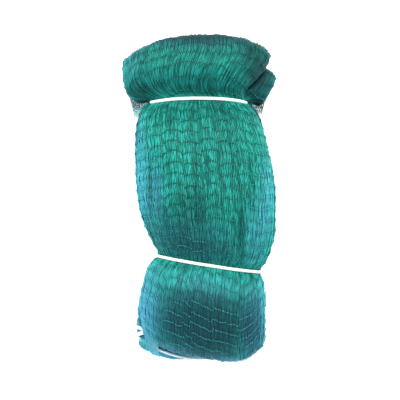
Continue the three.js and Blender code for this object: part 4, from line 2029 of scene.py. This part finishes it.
@dataclass(frozen=True)
class LooseEdge:
    """A loose edge of the netting, where its meshes stand open and the light shows through. The corners are
    upper left, upper right, lower right and lower left."""

    name: str
    corners: tuple[tuple[float, float, float], ...]
    turns: int = 3
    mesh: tuple[float, float] = (2.4, 4.2)
    twine_radius: float = 0.3
    tint: float = 0.9
    seed: int = 3
    bulge: float = 5.0  # how far its middle stands up at the top
    swing: float = 0.45
    stray: float = 0.35
    ravel: float = 0.12  # how much shorter each further turn is
    turn_drop: float = 1.2
    overhang: float = 1.05
    step: float = 1.6

    def place(self, across: Array, down: Array) -> Array:
        """Give points of the edge.

        Args:
            across: places across it, from 0 to 1.
            down: places down it, from 0 to 1.

        Returns:
            The points.
        """
        a, b, c, d = (np.array(corner, float) for corner in self.corners)
        across, down = across[..., None], down[..., None]
        flat = (a * (1 - across) + b * across) * (1 - down) + (d * (1 - across) + c * across) * down
        return flat + np.array([0, 0, self.bulge]) * across * (1 - across) * 4 * (1 - down)

    def build(self, material: bpy.types.Material) -> bpy.types.Object:
        """Make the piece.

        Args:
            material: the twines' material.

        Returns:
            The piece.
        """
        a, b, _, d = (np.array(corner, float) for corner in self.corners)
        twines = max(4, round(float(np.linalg.norm(b - a)) / self.mesh[0]))
        rows = max(3, round(float(np.linalg.norm(d - a)) / self.mesh[1]))
        row = np.arange(rows + 1)
        chance = np.random.default_rng(self.seed)
        parts = []
        for turn in range(self.turns):
            offset = chance.uniform(0, 1, 2)
            stray = chance.uniform(-self.stray, self.stray, (twines + 2, rows + 2))
            for j in range(twines):
                sway = self.swing * np.where((row + j) % 2 == 0, 1, -1) + stray[j, : rows + 1]
                across = (j + offset[0] + sway) / twines
                down = (row + offset[1] - 0.5) / rows * (1 - self.ravel * turn)
                line = self.place(np.clip(across, 0, 1), np.clip(down, 0, self.overhang))
                line[:, 2] -= self.turn_drop * turn
                path = evenly(line, self.step)
                upward = np.tile([0.0, 0.0, 1.0], (len(path), 1))
                parts.append(sweep(path, upward, (self.twine_radius, self.twine_radius), 4))
        points, faces = gather(parts)
        piece = mesh_object(self.name, points, faces)
        return dressed_netting(piece, points, np.full(len(points), self.tint), material)


LOOSE_EDGES = (
    LooseEdge("loose_edge_left", ((-127, 198, 40), (-86, 176, 38), (-96, 149, 34), (-114, 144, 24))),
    LooseEdge(
        "loose_edge_right", ((84, 178, 42), (117, 196, 36), (108, 149, 28), (84, 152, 38)), 8,
        tint=0.4, seed=4,
    ),
    LooseEdge("loose_edge_lobe", ((98, 247, 48), (113, 241, 40), (114, 224, 38), (101, 222, 46)), 2, seed=6),
)


# The cords

@dataclass(frozen=True)
class TieCord:
    """One white braided cord, drawn tight round the bundle and knotted."""

    name: str
    bundle: Bundle
    across: float = 5.4
    deep: float = 4.2
    clear: float = 0.45
    sides: int = 24
    step: float = 1.0
    yarns: int = 8
    braid_length: float = 9.0
    braid_depth: float = 0.22
    knot_halves: tuple[float, float, float] = (5.6, 4.6, 5.0)
    knot_points: int = 61
    knot_deep: float = 1.4
    thinnest_knot: float = 0.5
    knot_aside: tuple[float, float, float] = (0.3, 0.5, 0.8)  # a direction that no free cord sets out in
    probe: float = 1.5
    probe_columns: int = 240
    near_tie: float = 1.0
    turn_step: int = 2  # degrees
    smoothing: int = 12

    @property
    def place(self) -> TiePlace:
        """Give where the tie lies."""
        return TIES[self.name]

    def section_points(self) -> Array:
        """Find the net's surface that the tie goes round.

        Returns:
            Its points as places across and heights.
        """
        run, ring = np.meshgrid(
            np.arange(0, RUN_LENGTH, self.probe), np.arange(0, 1, 1 / self.probe_columns), indexing="ij"
        )
        points = self.bundle.net.points(run, ring)
        if math.isinf(self.place.top):
            near = np.abs(self.bundle.net.along(run, ring) - self.place.along) < self.near_tie
            return points[near][:, [0, 2]]
        off = points[..., 1] - self.place.line(points[..., 0])
        crossed = (off[1:] * off[:-1] <= 0) & (points[1:, :, 2] < self.place.top)
        return points[1:][crossed][:, [0, 2]]

    def ring_path(self) -> tuple[Array, Array]:
        """Draw the cord taut round the net.

        Returns:
            The points of its middle line and the direction away from the net at each.
        """
        section = self.section_points()
        distance = self.deep / 2 * self.place.size + self.clear
        angles = np.radians(np.arange(0, 360, self.turn_step))
        ways = np.stack([np.cos(angles), np.sin(angles)], -1)
        furthest = section[np.argmax(section @ ways.T, axis=0)] + ways * distance
        path = evenly(np.concatenate([furthest, furthest[:1]]), self.step)[:-1]
        for _ in range(self.smoothing):
            path = (np.roll(path, 1, 0) + path + np.roll(path, -1, 0)) / 3
        ahead = unit(np.roll(path, -1, 0) - np.roll(path, 1, 0))
        out = np.stack([ahead[:, 1], np.zeros(len(path)), -ahead[:, 0]], -1)
        x, z = path[:, 0], np.maximum(path[:, 1], distance)
        return np.stack([x, self.place.line(x), z], -1), out

    def braid(self, length: int, closed: bool) -> Array:
        """Give the height of the braid's yarns over the cord's surface, from 0 to 1.

        Args:
            length: the number of rings.
            closed: whether the cord closes on itself, so that the braid must too.

        Returns:
            An array with one row for each ring.
        """
        turns = length * self.step / self.braid_length
        turns = round(turns) if closed else turns
        along = np.arange(length)[:, None] / length * turns * 2 * math.pi
        angle = np.arange(self.sides) * 2 * math.pi / self.sides
        half = self.yarns / 2
        return 0.5 + 0.25 * np.cos(half * angle + along) + 0.25 * np.cos(half * angle - along)

    def cord(self, path: Array, outward: Array, closed: bool,
             size: float = 1.0) -> tuple[Array, Array, Array]:
        """Sweep the braided cord along a path.

        Args:
            path: the middle line.
            outward: the direction away from the net.
            closed: whether the path closes on itself.
            size: the size against the tie's own cord.

        Returns:
            Points, triangles and the braid's height at each point.
        """
        braid = self.braid(len(path), closed)
        scale = self.place.size * size
        halves = self.deep / 2 * scale, self.across / 2 * scale
        relief = (braid - 1) * self.braid_depth * scale
        return *sweep(path, outward, halves, self.sides, closed, relief), braid.ravel()

    def free_cord(self, places: Sequence[Array], size: float) -> tuple[Array, Array, Array]:
        """Make a free length of the cord, clear of the resting surface.

        Args:
            places: the places that it goes through.
            size: the size against the tie's own cord.

        Returns:
            Points, triangles and the braid's height at each point.
        """
        path = curve_through(places, self.step)
        path[:, 2] = np.maximum(path[:, 2], self.across / 2)
        aside = np.cross(path[1] - path[0], self.knot_aside)
        return self.cord(path, carried_outward(path, unit(aside)), False, size)

    def knot(self, centre: Array, out: Array) -> tuple[Array, Array, Array]:
        """Make the tight knot, whose cord crosses itself three times.

        Args:
            centre: its middle.
            out: the direction away from the net.

        Returns:
            Points, triangles and the braid's height at each point.
        """
        t = np.linspace(0, 2 * math.pi, self.knot_points)
        deep = -self.knot_deep * np.sin(3 * t)
        shape = np.stack([np.sin(t) + 2 * np.sin(2 * t), np.cos(t) - 2 * np.cos(2 * t), deep], -1)
        lengthwise = np.array([0.0, 1.0, 0.0])
        crosswise = unit(np.cross(lengthwise, out))
        room = np.array([self.knot_halves[0], self.knot_halves[2], self.knot_halves[1]]) * self.place.size
        cord = self.deep / 2 * self.place.size * CUT_END_SIZE
        inner = np.maximum(room - cord, self.thinnest_knot) / (3, 3, self.knot_deep)
        axes = np.stack([lengthwise, crosswise, out])
        return self.free_cord(list(centre + (shape * inner) @ axes), CUT_END_SIZE)

    def loose_ends(self, centre: Array) -> list[tuple[Array, Array, Array]]:
        """Make the cord that leaves the knot: two cut ends, or the end tie's loop and tail.

        Args:
            centre: the knot's middle.

        Returns:
            Points, triangles and the braid's height at each point, for each length of cord.
        """
        if self.name in CUT_ENDS:
            ends = [centre + np.array(end) for end in CUT_ENDS[self.name]]
            return [self.free_cord([centre, *end], CUT_END_SIZE) for end in ends]
        loop = self.free_cord([centre, *BOW_LOOP, centre], BOW_SIZE)
        return [loop, self.free_cord([centre, *TAIL], TAIL_SIZE)]

    def build(self, material: bpy.types.Material) -> bpy.types.Object:
        """Make the tie.

        Args:
            material: the cord's material.

        Returns:
            The piece, which stands for the frame's tie of the same name.
        """
        path, outward = self.ring_path()
        toward = math.radians(self.place.knot_at)
        aim = np.array([math.cos(toward), 0, math.sin(toward)])
        at = int(np.argmax(unit(path - path.mean(0)) @ aim))
        centre = path[at] + outward[at] * (self.knot_halves[1] - self.deep / 2) * self.place.size
        parts = [self.cord(path, outward, True), self.knot(centre, outward[at]), *self.loose_ends(centre)]
        points, faces = gather(part[:2] for part in parts)
        piece = mesh_object(f"{self.name}_cord", points, faces)
        store_values(piece, braid=np.concatenate([part[2] for part in parts]))
        return dressed(piece, material, "cord", self.name)


# The studio

@dataclass(frozen=True)
class SoftLight:
    """One soft area light, aimed at the bundle."""

    name: str
    place: tuple[float, float, float]
    size: float
    watts: float
    colour: str

    def build(self) -> None:
        """Make the light, whose place and size are metres."""
        data = bpy.data.lights.new(self.name, "AREA")
        data.shape = "DISK"
        data.size = self.size
        data.energy = self.watts
        data.color = linear_colour(self.colour)[:3]
        lamp = bpy.data.objects.new(self.name, data)
        lamp.location = self.place
        lamp.rotation_euler = (Vector(self.place) * -1).to_track_quat("-Z", "Y").to_euler()
        bpy.context.scene.collection.objects.link(lamp)


@dataclass(frozen=True)
class Studio:
    """A plain white floor under soft light, with the camera straight above the bundle."""

    camera_height: float = 0.85
    lens: float = 42.35
    sensor: float = 36
    floor_size: float = 6.0
    sky: str = "f2f6fa"
    sky_strength: float = 0.45
    lights: tuple[SoftLight, ...] = (
        SoftLight("key_softbox", (0.12, 0.75, 1.5), 0.5, 52, "fffaf2"),
        SoftLight("cool_fill", (-1.3, -0.5, 0.7), 0.8, 9, "b8d4ff"),
        SoftLight("foot_fill", (-0.2, -1.4, 0.7), 0.8, 14, "e4eeff"),
    )

    def build(self) -> None:
        """Make the camera, the floor and the lights."""
        data = bpy.data.cameras.new("camera")
        data.lens = self.lens
        data.sensor_width = self.sensor
        camera = bpy.data.objects.new("camera", data)
        camera.location = (0, 0, self.camera_height)
        bpy.context.scene.collection.objects.link(camera)
        bpy.context.scene.camera = camera
        half = self.floor_size / 2 / MM
        corners = np.array([(-half, -half, 0), (half, -half, 0), (half, half, 0), (-half, half, 0)], float)
        floor = mesh_object("floor", corners, np.array([[0, 1, 2, 3]]), flat=True)
        floor.data.materials.append(MattPaper().material())
        for light in self.lights:
            light.build()
        world = bpy.data.worlds.new("soft_sky")
        world.use_nodes = True
        background = world.node_tree.nodes["Background"]
        background.inputs["Color"].default_value = linear_colour(self.sky)
        background.inputs["Strength"].default_value = self.sky_strength
        bpy.context.scene.world = world
        bpy.context.scene.view_settings.view_transform = "Standard"


def main() -> None:
    """Build the studio, the netting and the cords."""
    logging.basicConfig(level=logging.INFO, format="%(name)s: %(message)s")
    Studio().build()
    bundle = Bundle()
    log.info("open to view: %.0f%% of the net", 100 * bundle.open_to_view.mean())
    twine = TwistedNylonTwine().material()
    body = NetBody(bundle).build(NettingDepth().material())
    netting = OuterNetting(bundle).build(twine)
    netting += [edge.build(twine) for edge in LOOSE_EDGES]
    cord = BraidedPolyesterCord().material()
    ties = {name: TieCord(name, bundle).build(cord) for name in TIES}
    netting.append(NettingOverTie().build([body, ties["end_tie"]], twine))


if __name__ == "__main__":
    main()
